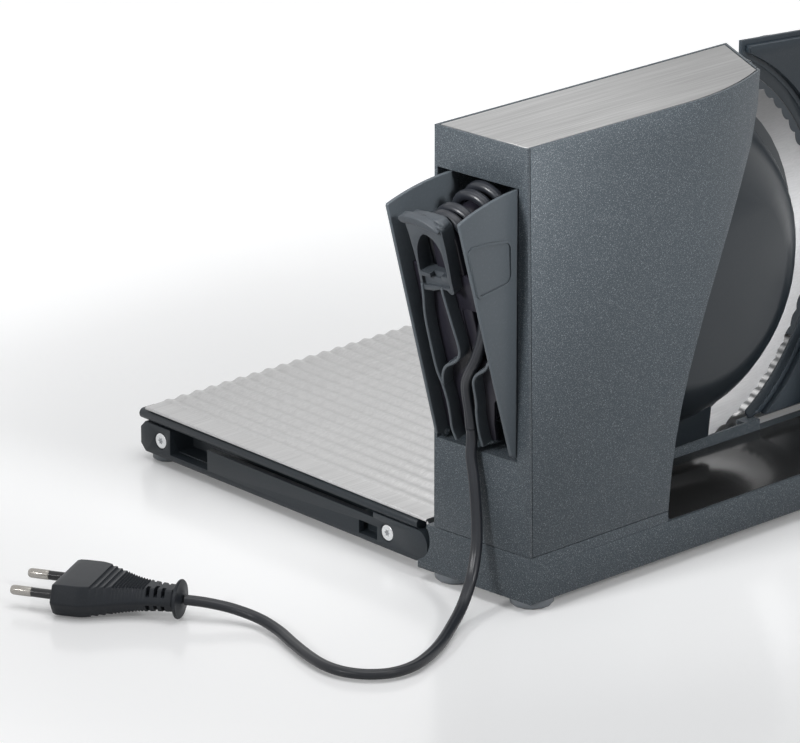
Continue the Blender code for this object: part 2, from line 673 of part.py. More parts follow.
def tower_housing():
    tower = thing("tower_housing", tower_body(SEAM + CLEAR, ROOF), HOUSING_PAINT)
    lap = PANEL_LAP
    levels = [SEAM - OVER + (ROOF - SEAM + 2 * OVER) * i / (TOWER_ROWS - 1) for i in range(TOWER_ROWS)]
    rings = []
    for level in levels:
        inner = face_line(level, lap, 0)
        front = [(x, y - OVER) for x, y in inner]
        back = [(x, y + PANEL_THICK) for x, y in inner]
        front[-1] = (front[-1][0] + OVER, front[-1][1])
        back[-1] = (back[-1][0] + OVER, back[-1][1] + OVER * SIDE_RECEDE_SHARE)
        rings.append([Vector((x, y, level)) for x, y in (*front, *back[::-1])])
    cut(tower, loft(rings))
    cut(tower, tower_body(SEAM - OVER, ROOF - DECK - TOP_PLATE_THICK, front_inset=PANEL_THICK + WALL, inset=WALL,
                          left_inset=BAY_DEPTH + 2 * WALL))
    cut(tower, bay_box())
    cut(tower, top_recess())
    inner = [(0, COVER_FRONT + WALL)] + cover_profile(WALL)[0:]
    inner = inner + [(inner[-1][0], BLADE_FRONT + OVER), (0, BLADE_FRONT + OVER)]
    cut(tower, turned(inner, BLADE_CENTRE, ACROSS, BIG_ROUND_STEPS))
    cut(tower, rod(COVER_RADIUS + CLEAR, BLADE_CENTRE + ACROSS * (COVER_NECK - WALL), ACROSS, OVER * 2 + WALL,
                   BIG_ROUND_STEPS))
    for start, length in ((BAY_NEAR - CASSETTE_PIN_BITE - CASSETTE_PIN_HEAD, OVER), (BAY_FAR - OVER, OVER + CASSETTE_PIN_BITE)):
        cut(tower, rod(CASSETTE_PIN_RADIUS + CLEAR / 2, pin_place(start), END_ALONG, length + CLEAR,
                       SMALL_ROUND_STEPS))


def top_outline(inset):
    """Plan of the tower's top, moved in by an even inset."""
    ring = tower_ring(ROOF)
    shifted = []
    count = len(ring)
    for i, corner in enumerate(ring):
        before = (corner - ring[i - 1]).normalized()
        after = (ring[(i + 1) % count] - corner).normalized()
        side_a = Vector((-before.y, before.x, 0))
        side_b = Vector((-after.y, after.x, 0))
        mitre = (side_a + side_b) / (1 + side_a.dot(side_b))
        shifted.append(corner + mitre * inset)
    return shifted


def top_recess():
    """The room for the steel plate, a dark line wider than the plate all round."""
    recess = [Vector((p.x, p.y, 0)) for p in top_outline(TOP_PLATE_INSET - TOP_PLATE_GAP)]
    return prism(recess, UP * (ROOF - TOP_PLATE_THICK - CLEAR), UP * (TOP_PLATE_THICK + OVER))


def top_plate():
    outline = [Vector((p.x, p.y, 0)) for p in top_outline(TOP_PLATE_INSET)]
    plate = thing("top_plate", prism(outline, UP * (ROOF - TOP_PLATE_THICK), UP * TOP_PLATE_THICK), BRUSHED_STEEL)
    return plate


def face_panel():
    lap = PANEL_LAP + CLEAR
    rings = []
    levels = [SEAM + CLEAR + (ROOF - SEAM - CLEAR) * i / (TOWER_ROWS - 1) for i in range(TOWER_ROWS)]
    for level in levels:
        line = face_line(level, lap, 0)
        thick = PANEL_THICK - CLEAR
        back = [(x, y + thick) for x, y in line]
        back[-1] = (back[-1][0] + thick * SIDE_RECEDE_SHARE, back[-1][1])
        rings.append([Vector((x, y, level)) for x, y in (*line, *back[::-1])])
    panel = thing("face_panel", loft(rings), HOUSING_PAINT)
    cut(panel, top_recess())


# ---------------------------------------------------------------- gear cover, blade and drive
def gear_cover():
    outer = [(0, COVER_FRONT)] + cover_profile() + [
        (COVER_NECK_RADIUS, COVER_NECK), (COVER_RADIUS, COVER_NECK + 2 * CLEAR), (COVER_RADIUS, COVER_BACK)]
    inner = cover_profile(WALL)
    inner = inner + [(inner[-1][0] + 2 * CLEAR, COVER_BACK)]
    profile = outer + inner[::-1] + [(0, COVER_FRONT + WALL)]
    cover = thing("gear_cover", turned(profile, BLADE_CENTRE, ACROSS, BIG_ROUND_STEPS), DARK_GLOSS,
                  origin=BLADE_CENTRE)
    foot = [Vector((x, 0, z)) for x, z in (
        (PEDESTAL_START, SEAM + CLEAR), (PEDESTAL_FOOT_END, SEAM + CLEAR), (PEDESTAL_TOP_END, FOOT_HEIGHT + PEDESTAL_TOP),
        (PEDESTAL_START, FOOT_HEIGHT + PEDESTAL_TOP))]
    join(cover, prism(foot, ACROSS * PEDESTAL_FRONT, ACROSS * (PEDESTAL_BACK - PEDESTAL_FRONT)))
    clear_bore = cover_profile(WALL)[-1][0]
    cut(cover, rod(clear_bore, BLADE_CENTRE + ACROSS * COVER_SHOULDER, ACROSS, OVER * 4, BIG_ROUND_STEPS))
    grown = [[p.copy() for p in tower_ring(level, front_inset=0, inset=0)] for level in (
        [SEAM - OVER + (ROOF - SEAM) * i / (TOWER_ROWS - 1) for i in range(TOWER_ROWS)])]
    for ring in grown:
        for i, p in enumerate(ring):
            if i < len(ring) - 4:
                p.y -= OVER
                p.x += CLEAR if i == len(ring) - 5 else 0
            elif i < len(ring) - 1:
                p.x += 2 * CLEAR
            if p.y > COVER_NECK - 2 * CLEAR:
                p.x += SIDE_RECEDE_SHARE * (COVER_NECK - 2 * CLEAR - p.y) if i < len(ring) - 1 else 0
                p.y = COVER_NECK - 2 * CLEAR
    cut(cover, loft(grown))


def gear_plate():
    radius = cover_profile(WALL)[-1][0] - CLEAR
    bore = SHAFT_RADIUS + BUSH_WALL + 2 * CLEAR
    profile = [(bore, GEAR_PLATE_FRONT), (radius, GEAR_PLATE_FRONT),
               (radius, GEAR_PLATE_FRONT + GEAR_PLATE_THICK), (bore, GEAR_PLATE_FRONT + GEAR_PLATE_THICK)]
    thing("gear_plate", turned(profile, BLADE_CENTRE, ACROSS, BIG_ROUND_STEPS), DARK_PLASTIC, origin=BLADE_CENTRE)


def bushes():
    bore = SHAFT_RADIUS + CLEAR
    spots = (("bush_front", COVER_FRONT + WALL + CLEAR, WHEEL_FRONT - 2 * CLEAR),
             ("bush_rear", GEAR_PLATE_FRONT - GEAR_PLATE_THICK, GEAR_PLATE_FRONT + GEAR_PLATE_THICK - CLEAR))
    for name, low, high in spots:
        profile = [(bore, low), (bore + BUSH_WALL, low), (bore + BUSH_WALL, high), (bore, high)]
        thing(name, turned(profile, BLADE_CENTRE, ACROSS, ROUND_STEPS), BRASS, origin=BLADE_CENTRE)


def blade_shaft(pivot):
    front = COVER_FRONT + WALL + 2 * CLEAR
    flange_back = BLADE_FRONT - CLEAR
    tail = BLADE_FRONT + BLADE_THICK + LOCK_THICK
    profile = [(0, front), (SHAFT_RADIUS, front), (SHAFT_RADIUS, flange_back - SHAFT_FLANGE),
               (SHAFT_FLANGE_RADIUS, flange_back - SHAFT_FLANGE), (SHAFT_FLANGE_RADIUS, flange_back),
               (SHAFT_RADIUS, flange_back), (SHAFT_RADIUS, tail), (0, tail)]
    thing("blade_shaft", turned(profile, BLADE_CENTRE, ACROSS, ROUND_STEPS), BRIGHT_STEEL, origin=BLADE_CENTRE,
          pivot=pivot)


def blade(pivot):
    """A thin disc whose scalloped rim is hollow-ground on the logo side."""
    count = TEETH * TOOTH_STEPS
    back = BLADE_FRONT + BLADE_THICK

    def ring(radius, depth, scallop):
        points = []
        for i in range(count):
            wave = abs(math.sin(math.pi * i / TOOTH_STEPS))
            r = radius - scallop * wave
            angle = math.tau * i / count
            points.append(Vector((r * math.cos(angle), depth, r * math.sin(angle))) + BLADE_CENTRE)
        return points

    rings = [ring(BLADE_RADIUS - BEVEL_WIDTH, BLADE_FRONT, 0), ring(BLADE_RADIUS, back - BLADE_EDGE, TOOTH_DEPTH),
             ring(BLADE_RADIUS, back, TOOTH_DEPTH)]
    disc = thing("blade", loft(rings), BRIGHT_STEEL, origin=BLADE_CENTRE, pivot=pivot)
    cut(disc, rod(SHAFT_RADIUS + CLEAR, BLADE_CENTRE + ACROSS * (BLADE_FRONT - OVER), ACROSS, 2 * OVER + BLADE_THICK))


def worm_wheel(pivot):
    count = WHEEL_TEETH * 4
    heights = (WHEEL_RADIUS, WHEEL_RADIUS, WHEEL_RADIUS - WHEEL_TOOTH, WHEEL_RADIUS - WHEEL_TOOTH)

    def ring(depth):
        return [Vector((heights[i % 4] * math.cos(math.tau * i / count), depth,
                        heights[i % 4] * math.sin(math.tau * i / count))) + BLADE_CENTRE for i in range(count)]

    wheel = thing("worm_wheel", loft([ring(WHEEL_FRONT), ring(WHEEL_FRONT + WHEEL_THICK)]), GEAR_NYLON,
                  origin=BLADE_CENTRE, pivot=pivot)
    hub = SHAFT_RADIUS + BUSH_WALL
    rim = WHEEL_RADIUS - WHEEL_RIM
    sunk = (WHEEL_THICK - WHEEL_WEB) / 2
    for low, high in ((WHEEL_FRONT - OVER, WHEEL_FRONT + sunk),
                      (WHEEL_FRONT + WHEEL_THICK - sunk, WHEEL_FRONT + WHEEL_THICK + OVER)):
        cut(wheel, turned([(hub, low), (rim, low), (rim, high), (hub, high)], BLADE_CENTRE, ACROSS))
    cut(wheel, rod(SHAFT_RADIUS + CLEAR, BLADE_CENTRE + ACROSS * (WHEEL_FRONT - OVER), ACROSS, WHEEL_THICK + 2 * OVER))


WORM_AXIS = BLADE_CENTRE + ACROSS * (WHEEL_FRONT + WHEEL_THICK / 2) + UP * (WHEEL_RADIUS + WORM_RADIUS + CLEAR)


def worm(pivot):
    """A single-start thread: an off-round section that turns as it runs along."""
    pitch = math.tau * WHEEL_RADIUS / WHEEL_TEETH
    start = BLADE_X - WORM_LENGTH / 2
    rings_total = int(WORM_LENGTH / pitch * WORM_RINGS)
    sides = SMALL_ROUND_STEPS

    def section(x, radius_of):
        return [Vector((x, WORM_AXIS.y + radius_of(math.tau * i / sides) * math.cos(math.tau * i / sides),
                        WORM_AXIS.z + radius_of(math.tau * i / sides) * math.sin(math.tau * i / sides)))
                for i in range(sides)]

    plain = lambda angle: WORM_ROD
    rings = [section(MOTOR_END - MOTOR_BEARING, plain), section(start - WORM_ROD, plain)]
    for k in range(rings_total + 1):
        turn = math.tau * k / WORM_RINGS

        def thread(angle, turn=turn):
            lobe = max(math.cos(angle - turn), 0) ** 2
            return WORM_CORE + (WORM_RADIUS - WORM_CORE) * lobe

        rings.append(section(start + WORM_LENGTH * k / rings_total, thread))
    rings += [section(start + WORM_LENGTH + WORM_ROD, plain), section(start + WORM_LENGTH + WORM_TAIL, plain)]
    thing("worm", loft(rings), BRIGHT_STEEL, origin=WORM_AXIS, pivot=pivot)


def motor():
    start, end = MOTOR_START - WORM_AXIS.x, MOTOR_END - WORM_AXIS.x
    rim = MOTOR_RADIUS / 12
    profile = [(0, start), (MOTOR_RADIUS - rim, start), (MOTOR_RADIUS, start + rim), (MOTOR_RADIUS, end - rim),
               (MOTOR_RADIUS - rim, end), (0, end)]
    can = thing("motor", turned(profile, WORM_AXIS, ALONG), BRUSHED_STEEL, origin=WORM_AXIS)
    bore_start = Vector((MOTOR_END - MOTOR_BEARING - CLEAR, WORM_AXIS.y, WORM_AXIS.z))
    cut(can, rod(WORM_ROD + CLEAR, bore_start, ALONG, MOTOR_BEARING + OVER, SMALL_ROUND_STEPS))


def motor_bracket():
    """A plate in front of the motor, from the logo panel's wall to the blade-side wall."""
    low = WORM_AXIS.z - MOTOR_RADIUS - BRACKET_MARGIN
    high = WORM_AXIS.z + MOTOR_RADIUS + BRACKET_MARGIN
    x = MOTOR_END + CLEAR
    near = max(face_y(x + BRACKET_THICK, z) for z in (low, high)) + PANEL_THICK + WALL + CLEAR
    far = TOWER_BACK - WALL - CLEAR
    reach = math.sqrt(max((COVER_RADIUS + CLEAR) ** 2 - (low - BLADE_CENTRE.z) ** 2, 0))
    depth = COVER_NECK - WALL - CLEAR if BLADE_X - reach < x + BRACKET_THICK else far
    plate = thing("motor_bracket", slab((x, near, low), (x + BRACKET_THICK, depth, high)), BRUSHED_STEEL)
    cut(plate, rod(MOTOR_NOSE, Vector((x - OVER, WORM_AXIS.y, WORM_AXIS.z)), ALONG, BRACKET_THICK + 2 * OVER))


def blade_lock(pivot):
    """Quarter-turn cap that holds the blade, with a grip bar across it."""
    low = BLADE_FRONT + BLADE_THICK + CLEAR
    high = low + LOCK_THICK
    profile = [(0, low), (LOCK_RADIUS, low), (LOCK_RADIUS, high - LOCK_EDGE), (LOCK_RADIUS - LOCK_EDGE, high), (0, high)]
    cap = thing("blade_lock", turned(profile, BLADE_CENTRE, ACROSS, ROUND_STEPS), DARK_PLASTIC, origin=BLADE_CENTRE,
                pivot=pivot)
    reach = LOCK_RADIUS - LOCK_EDGE * 2
    half = LOCK_GRIP_WIDTH / 2
    join(cap, slab(tuple(BLADE_CENTRE + Vector((-reach, high - LOCK_EDGE, -half))),
                   tuple(BLADE_CENTRE + Vector((reach, high + LOCK_GRIP_HEIGHT, half)))))
    tail = LOCK_THICK - CLEAR
    cut(cap, rod(SHAFT_RADIUS + CLEAR, BLADE_CENTRE + ACROSS * (low - OVER), ACROSS, OVER + tail))


# ---------------------------------------------------------------- thickness stop
def stop_outline(inset):
    """The stop's face, concentric with the blade on its left, its top sloping down to the right."""
    radius = BLADE_RADIUS + STOP_GAP + inset
    foot = SEAM + STOP_UNDER
    left = STOP_LEFT + inset
    top = ROOF - (TOWER_TOP - STOP_TOP)
    from_angle = math.degrees(math.acos((left - BLADE_X) / radius))
    to_angle = math.degrees(math.asin((foot - BLADE_CENTRE.z) / radius))
    right = STOP_RIGHT - inset
    top_left = top - inset
    top_right = top_left - math.tan(STOP_SLOPE) * (right - left)
    corner = BASE_CORNER
    curve = arc(BLADE_X, BLADE_CENTRE.z, radius, from_angle, to_angle, STOP_ARC_STEPS)
    return [Vector((x, 0, z)) for x, z in (
        (left, top_left), *curve, (right, foot), (right, top_right - corner), (right - corner, top_right))]


def stop_plate(pivot):
    sheet_front = STOP_FRONT + STOP_BODY + CLEAR
    sheet = thing("stop_face", prism(stop_outline(0), ACROSS * sheet_front, ACROSS * STOP_SHEET), BRUSHED_STEEL,
                  pivot=pivot)
    body = thing("stop_body", prism(stop_outline(STOP_INSET), ACROSS * STOP_FRONT, ACROSS * STOP_BODY), DARK_PLASTIC,
                 pivot=pivot)
    return sheet, body


CARRIER_FOOT = TRAY + RAIL_HEIGHT + CLEAR


def stop_carrier(pivot):
    """The slide behind the stop: it straddles its rail, and the pinion rolls on its top."""
    half = CARRIER_WIDTH / 2
    top = FOOT_HEIGHT + PINION_HEIGHT - PINION_PITCH
    block = thing("stop_carrier", slab((CARRIER_X - half, CARRIER_NOSE, TRAY + CLEAR), (CARRIER_X + half,
                  STOP_FRONT - CLEAR, top)), DARK_PLASTIC, pivot=pivot)
    groove = RAIL_WIDTH / 2 + CLEAR
    cut(block, slab((CARRIER_X - groove, CARRIER_NOSE - OVER, TRAY - OVER),
                    (CARRIER_X + groove, STOP_FRONT + OVER, CARRIER_FOOT)))


def guide_rail():
    half = RAIL_WIDTH / 2
    thing("guide_rail", slab((CARRIER_X - half, RAIL_FRONT, TRAY + CLEAR),
                             (CARRIER_X + half, STOP_FRONT + STOP_BODY, TRAY + RAIL_HEIGHT)), BRUSHED_STEEL)


def guide_housing():
    """The control housing on the tray: open behind for the slide, its front raked back."""
    foot = TRAY + CLEAR
    top = TRAY + HOUSING_HEIGHT
    corner = HOUSING_ROUND
    front = HOUSING_FRONT
    section = [Vector((0, y, z)) for y, z in (
        (front, foot), (HOUSING_BACK, foot), (HOUSING_BACK, top),
        *arc(front + HOUSING_SLOPE + corner, top - corner, corner, 90, 170, 5))]
    shell = thing("guide_housing", prism(section, ALONG * HOUSING_LEFT, ALONG * (HOUSING_RIGHT - HOUSING_LEFT)),
                  HOUSING_PAINT)
    half = CARRIER_WIDTH / 2 + 2 * CLEAR
    nose = CARRIER_NOSE - STOP_TRAVEL - 2 * CLEAR
    cut(shell, slab((CARRIER_X - half, nose, foot - OVER),
                    (CARRIER_X + half, HOUSING_BACK + OVER, FOOT_HEIGHT + PINION_HEIGHT + PINION_PITCH + CLEAR)), solver="MANIFOLD")
    axis = Vector((CARRIER_X, PINION_Y, FOOT_HEIGHT + PINION_HEIGHT))
    cut(shell, rod(PINION_ROD + CLEAR, axis - ALONG * (half + WALL), ALONG, HOUSING_RIGHT - CARRIER_X + half + WALL + OVER,
                   SMALL_ROUND_STEPS), solver="MANIFOLD")
    for x, radius, travel in button_places():
        deep = BUTTON_BODY + travel + CLEAR
        mouth = button_face(x)
        cut(shell, rod(radius + CLEAR, mouth - ACROSS * OVER * 2, ACROSS, OVER * 2 + deep, ROUND_STEPS), solver="MANIFOLD")
        cut(shell, rod(BUTTON_STEM + CLEAR, mouth, ACROSS, deep + BUTTON_STEM + travel + CLEAR, SMALL_ROUND_STEPS), solver="MANIFOLD")


def button_places():
    return ((POWER_X, POWER_RADIUS, POWER_TRAVEL), (LOCK_X - BUTTON_STEM, LOCK_BUTTON_RADIUS, LOCK_TRAVEL))


def button_face(x):
    """The point on the housing's raked front in which a button's axis runs."""
    height = TRAY + BUTTON_HEIGHT
    rake = HOUSING_SLOPE * BUTTON_HEIGHT / (HOUSING_HEIGHT - HOUSING_ROUND)
    return Vector((x, HOUSING_FRONT + rake, height))


def buttons(pivots):
    names = ("power_button", "lock_button")
    for name, pivot, (x, radius, travel) in zip(names, pivots, button_places()):
        face = button_face(x)
        proud = BUTTON_PROUD + radius * HOUSING_SLOPE / HOUSING_HEIGHT + travel
        edge = radius / 6
        profile = [(0, -proud), (radius - edge, -proud), (radius, edge - proud), (radius, BUTTON_BODY),
                   (BUTTON_STEM, BUTTON_BODY), (BUTTON_STEM, BUTTON_BODY + BUTTON_STEM), (0, BUTTON_BODY + BUTTON_STEM)]
        thing(name, turned(profile, face, ACROSS, ROUND_STEPS), DARK_GLOSS, origin=face, pivot=pivot)


def knob_axis():
    return Vector((CARRIER_X, PINION_Y, FOOT_HEIGHT + PINION_HEIGHT))


def pinion(pivot):
    axis = knob_axis()
    half = CARRIER_WIDTH / 2 - CLEAR
    roll = PINION_PITCH - CLEAR
    tail = HOUSING_RIGHT - CARRIER_X + KNOB_THICK / 2
    profile = [(0, -half - WALL), (PINION_ROD, -half - WALL), (PINION_ROD, -half), (roll, -half), (roll, half),
               (PINION_ROD, half), (PINION_ROD, tail), (0, tail)]
    thing("pinion_shaft", turned(profile, axis, ALONG, SMALL_ROUND_STEPS + 4), BRIGHT_STEEL, origin=axis, pivot=pivot)


def thickness_knob(pivot):
    """Fluted knob with a skirt, its rim drawn in and out round the turn."""
    axis = knob_axis()
    start = HOUSING_RIGHT - CARRIER_X + CLEAR
    steps = KNOB_FLUTES * 4
    levels = ((start, 1.0, 0.0), (start + KNOB_SKIRT, 1.0, 0.0), (start + KNOB_SKIRT + CLEAR, 0.93, 1.0),
              (start + KNOB_THICK - KNOB_SKIRT, 0.86, 1.0), (start + KNOB_THICK, 0.78, 0.4))
    rings = []
    for distance, width_share, flute_share in levels:
        ring = []
        for i in range(steps):
            angle = math.tau * i / steps
            r = KNOB_RADIUS * width_share - KNOB_FLUTE * flute_share * (1 + math.cos(KNOB_FLUTES * angle)) / 2
            ring.append(axis + Vector((distance, r * math.cos(angle), r * math.sin(angle))))
        rings.append(ring)
    knob = thing("thickness_knob", loft(rings), DARK_PLASTIC, origin=axis, pivot=pivot)
    cut(knob, rod(PINION_ROD + CLEAR, axis + ALONG * (start - OVER), ALONG, OVER + KNOB_THICK / 2 + 2 * CLEAR,
                  SMALL_ROUND_STEPS))


# ---------------------------------------------------------------- support frame
def support_arm(name, outer, inwards):
    """A channel on edge: knuckle at the hinge, blocks at both ends, a lower outer wall between."""
    foot, top = FOOT_HEIGHT + ARM_FOOT, FOOT_HEIGHT + ARM_TOP
    corner = ARM_WALL
    outline = [Vector((0, y, z)) for y, z in (
        *arc(HINGE.y, HINGE.z, KNUCKLE_RADIUS, 112, 270, 12),
        (ARM_END - corner, foot), (ARM_END, foot + corner), (ARM_END, top - corner), (ARM_END - corner, top))]
    side = ALONG * inwards
    arm = thing(name, prism(outline, ALONG * outer, side * ARM_WIDTH), DARK_PLASTIC, origin=HINGE + ALONG * outer)

    def window(depth_from, depth_to, y0, y1, z0, z1):
        xs = sorted((outer + inwards * depth_from, outer + inwards * depth_to))
        return slab((xs[0], y0, FOOT_HEIGHT + z0), (xs[1], y1, FOOT_HEIGHT + z1))

    cut(arm, window(ARM_WALL, ARM_WIDTH - ARM_WALL, ARM_SLOT_TO, ARM_FAR_BLOCK, ARM_FOOT + ARM_WALL, ARM_TOP + OVER), solver="MANIFOLD")
    cut(arm, window(-OVER, ARM_WALL + OVER / 2, ARM_NEAR_BLOCK, ARM_FAR_BLOCK - ARM_NOTCH, ARM_LOW_TOP, ARM_TOP + OVER), solver="MANIFOLD")
    cut(arm, window(-OVER, ARM_WALL + OVER / 2, ARM_FAR_BLOCK - ARM_NOTCH, ARM_FAR_BLOCK, ARM_NOTCH_FLOOR,
                    ARM_TOP + OVER), solver="MANIFOLD")
    cut(arm, window(-OVER, ARM_WALL + OVER / 2, ARM_SLOT_FROM, ARM_SLOT_TO, ARM_SLOT_FOOT, ARM_SLOT_TOP), solver="MANIFOLD")
    for y in (ROD_NEAR_Y, ROD_FAR_Y):
        axis = Vector((outer, y, FOOT_HEIGHT + ROD_HEIGHT))
        cut(arm, rod(ROD_RADIUS + CLEAR, axis + side * ARM_WALL, side, ARM_WIDTH - ARM_WALL + OVER, SMALL_ROUND_STEPS), solver="MANIFOLD")
        cut(arm, rod(SCREW_SHANK + CLEAR, axis - side * OVER, side, ARM_WALL + 2 * OVER, SMALL_ROUND_STEPS), solver="MANIFOLD")
        cut(arm, rod(SCREW_HEAD + CLEAR, axis - side * OVER, side, OVER + SCREW_HEAD_THICK, SMALL_ROUND_STEPS + 8), solver="MANIFOLD")
    cut(arm, rod(HINGE_PIN_RADIUS + CLEAR, HINGE + ALONG * outer + side * ARM_WALL, side, ARM_WIDTH,
                 SMALL_ROUND_STEPS), solver="MANIFOLD")
    cut(arm, rod(FOOT_PLUG_RADIUS + CLEAR, support_foot_place(outer, inwards) - UP * OVER, UP,
                 OVER + ARM_WALL / 2 + CLEAR, SMALL_ROUND_STEPS), solver="MANIFOLD")


def support_foot_place(outer, inwards):
    return Vector((outer + inwards * ARM_WIDTH / 2, ARM_END - ARM_WIDTH / 2, FOOT_HEIGHT + ARM_FOOT))


def support_frame():
    sides = (("left", 0.0, 1), ("right", ARM_RIGHT, -1))
    for side_name, outer, inwards in sides:
        support_arm("support_arm_" + side_name, outer, inwards)
        side = ALONG * inwards
        pin_start = HINGE + ALONG * outer + side * (ARM_WALL + CLEAR)
        pin_length = ARM_WIDTH - ARM_WALL + EAR_WIDTH - 2 * CLEAR
        thing("hinge_pin_" + side_name, rod(HINGE_PIN_RADIUS, pin_start, side, pin_length, SMALL_ROUND_STEPS),
              BRIGHT_STEEL, origin=pin_start)
        place = support_foot_place(outer, inwards)
        height = FOOT_HEIGHT + ARM_FOOT
        edge = SUPPORT_FOOT_RADIUS / 8
        plug = ARM_WALL / 2
        profile = [(0, 0), (SUPPORT_FOOT_RADIUS - edge, 0), (SUPPORT_FOOT_RADIUS, edge),
                   (SUPPORT_FOOT_RADIUS, height - CLEAR), (FOOT_PLUG_RADIUS, height - CLEAR),
                   (FOOT_PLUG_RADIUS, height + plug), (0, height + plug)]
        thing("support_foot_" + side_name, turned(profile, place - UP * height, UP, SMALL_ROUND_STEPS), FOOT_RUBBER,
              origin=place)
        for row, y in (("near", ROD_NEAR_Y), ("far", ROD_FAR_Y)):
            axis = Vector((outer, y, FOOT_HEIGHT + ROD_HEIGHT))
            edge = SCREW_HEAD / 6
            deep = SCREW_HEAD_THICK - CLEAR
            profile = [(0, 0), (SCREW_HEAD - edge, 0), (SCREW_HEAD, edge), (SCREW_HEAD, deep), (SCREW_SHANK, deep),
                       (SCREW_SHANK, SCREW_LENGTH), (0, SCREW_LENGTH)]
            thing(f"rod_screw_{row}_{side_name}", turned(profile, axis, side, SMALL_ROUND_STEPS), BRIGHT_STEEL,
                  origin=axis)
    for row, y in (("near", ROD_NEAR_Y), ("far", ROD_FAR_Y)):
        start = Vector((ARM_WALL + CLEAR, y, FOOT_HEIGHT + ROD_HEIGHT))
        length = ARM_RIGHT - 2 * (ARM_WALL + CLEAR)
        guide = thing("guide_rod_" + row, rod(ROD_RADIUS, start, ALONG, length, SMALL_ROUND_STEPS), BRIGHT_STEEL,
                      origin=start)
        bite = SCREW_LENGTH - ARM_WALL + CLEAR
        cut(guide, rod(SCREW_SHANK + CLEAR, start - ALONG * OVER, ALONG, bite + OVER, SMALL_ROUND_STEPS))
        cut(guide, rod(SCREW_SHANK + CLEAR, start + ALONG * (length - bite), ALONG, bite + OVER, SMALL_ROUND_STEPS))


# ---------------------------------------------------------------- carriage
def carriage_plate(pivot):
    """Sheet with ridges across its length, turned down along the near edge."""
    ridges = int((CARRIAGE_LENGTH - 2 * CARRIAGE_MARGIN) / RIDGE_PITCH)
    under, middle = FOOT_HEIGHT + CARRIAGE_UNDER, FOOT_HEIGHT + CARRIAGE_TOP
    run = ridges * RIDGE_PITCH
    start = (CARRIAGE_LENGTH - run) / 2
    top = [(0, middle)]
    for i in range(ridges * RIDGE_STEPS + 1):
        height = RIDGE_RISE * math.sin(math.tau * i / RIDGE_STEPS)
        top.append((start + run * i / (ridges * RIDGE_STEPS), middle + height))
    top.append((CARRIAGE_LENGTH, middle))
    section = [Vector((x, 0, z)) for x, z in (*top, (CARRIAGE_LENGTH, under), (0, under))]
    plate = thing("carriage_plate", prism(section, ACROSS * CARRIAGE_NEAR, ACROSS * (CARRIAGE_FAR - CARRIAGE_NEAR)),
                  CARRIAGE_STEEL, pivot=pivot)
    join(plate, slab((SHEET, CARRIAGE_NEAR, under - CARRIAGE_LIP), (CARRIAGE_LENGTH - SHEET, CARRIAGE_NEAR + SHEET,
                     under + SHEET / 4)))


def edge_profiles(pivot):
    """Rounded plastic lips under the plate's short edges."""
    low, high = FOOT_HEIGHT + PROFILE_FOOT, FOOT_HEIGHT + CARRIAGE_UNDER - CLEAR
    half = (high - low) / 2
    for name, x, inwards in (("edge_profile_left", -PROFILE_SET, 1), ("edge_profile_right", CARRIAGE_LENGTH + PROFILE_SET, -1)):
        outline = [(half - half * math.sin(math.radians(t)), (low + high) / 2 + half * math.cos(math.radians(t)))
                   for t in range(0, 181, 20)]
        section = [Vector((x + inwards * d, 0, z)) for d, z in (*outline, (PROFILE_WIDTH, low), (PROFILE_WIDTH, high))]
        thing(name, prism(section, ACROSS * PROFILE_FRONT, ACROSS * (PROFILE_BACK - PROFILE_FRONT)), DARK_PLASTIC,
              pivot=pivot)


def slide_blocks(pivot):
    """Bearing blocks that ride the rods and carry the plate."""
    low, high = FOOT_HEIGHT + BLOCK_FOOT, FOOT_HEIGHT + CARRIAGE_UNDER - CLEAR
    for row, y in (("near", ROD_NEAR_Y), ("far", ROD_FAR_Y)):
        half = BLOCK_WIDTH / 2
        block = thing("slide_block_" + row, slab((BLOCK_START, y - half, low), (BLOCK_START + BLOCK_LENGTH, y + half,
                      high)), DARK_PLASTIC, pivot=pivot)
        axis = Vector((BLOCK_START - OVER, y, FOOT_HEIGHT + ROD_HEIGHT))
        cut(block, rod(ROD_RADIUS + CLEAR, axis, ALONG, BLOCK_LENGTH + 2 * OVER, SMALL_ROUND_STEPS))
        cut(block, slab((BLOCK_START + BLOCK_BEARING, y - half - OVER, low - OVER),
                        (BLOCK_START + BLOCK_LENGTH - BLOCK_BEARING, y + half + OVER,
                         FOOT_HEIGHT + ROD_HEIGHT + ROD_RADIUS + 2 * CLEAR)))


def carriage_wall(pivot):
    """The upright that pushes the food: a plate on a foot, its far top corner round."""
    foot, top = FOOT_HEIGHT + CARRIAGE_TOP + RIDGE_RISE + CLEAR, FOOT_HEIGHT + WALL_TOP
    corner = WALL_ROUND
    near_corner = WALL_ROUND / 5
    outline = [Vector((0, y, z)) for y, z in (
        (WALL_NEAR, foot), (WALL_FAR, foot), *arc(WALL_FAR - corner, top - corner, corner, 0, 90, 8),
        *arc(WALL_NEAR + near_corner, top - near_corner, near_corner, 90, 180, 4))]
    wall = thing("carriage_wall", prism(outline, ALONG * WALL_X, ALONG * WALL_THICK), DARK_PLASTIC, pivot=pivot)
    join(wall, slab((WALL_X + WALL_THICK / 2, PROFILE_FRONT, foot),
                    (WALL_X + WALL_THICK + WALL_FLANGE, WALL_FAR - corner / 2, foot + WALL_FLANGE_THICK)))


# ---------------------------------------------------------------- cassette
def share_line(shares, steps=3):
    """A smooth line from places given as shares of the cassette's width and height."""
    width, height = CASSETTE_FAR - CASSETTE_NEAR, CHEEK_HEIGHT
    return smooth_line([Vector((CASSETTE_NEAR + u * width, h * height, 0)) for u, h in shares], steps)


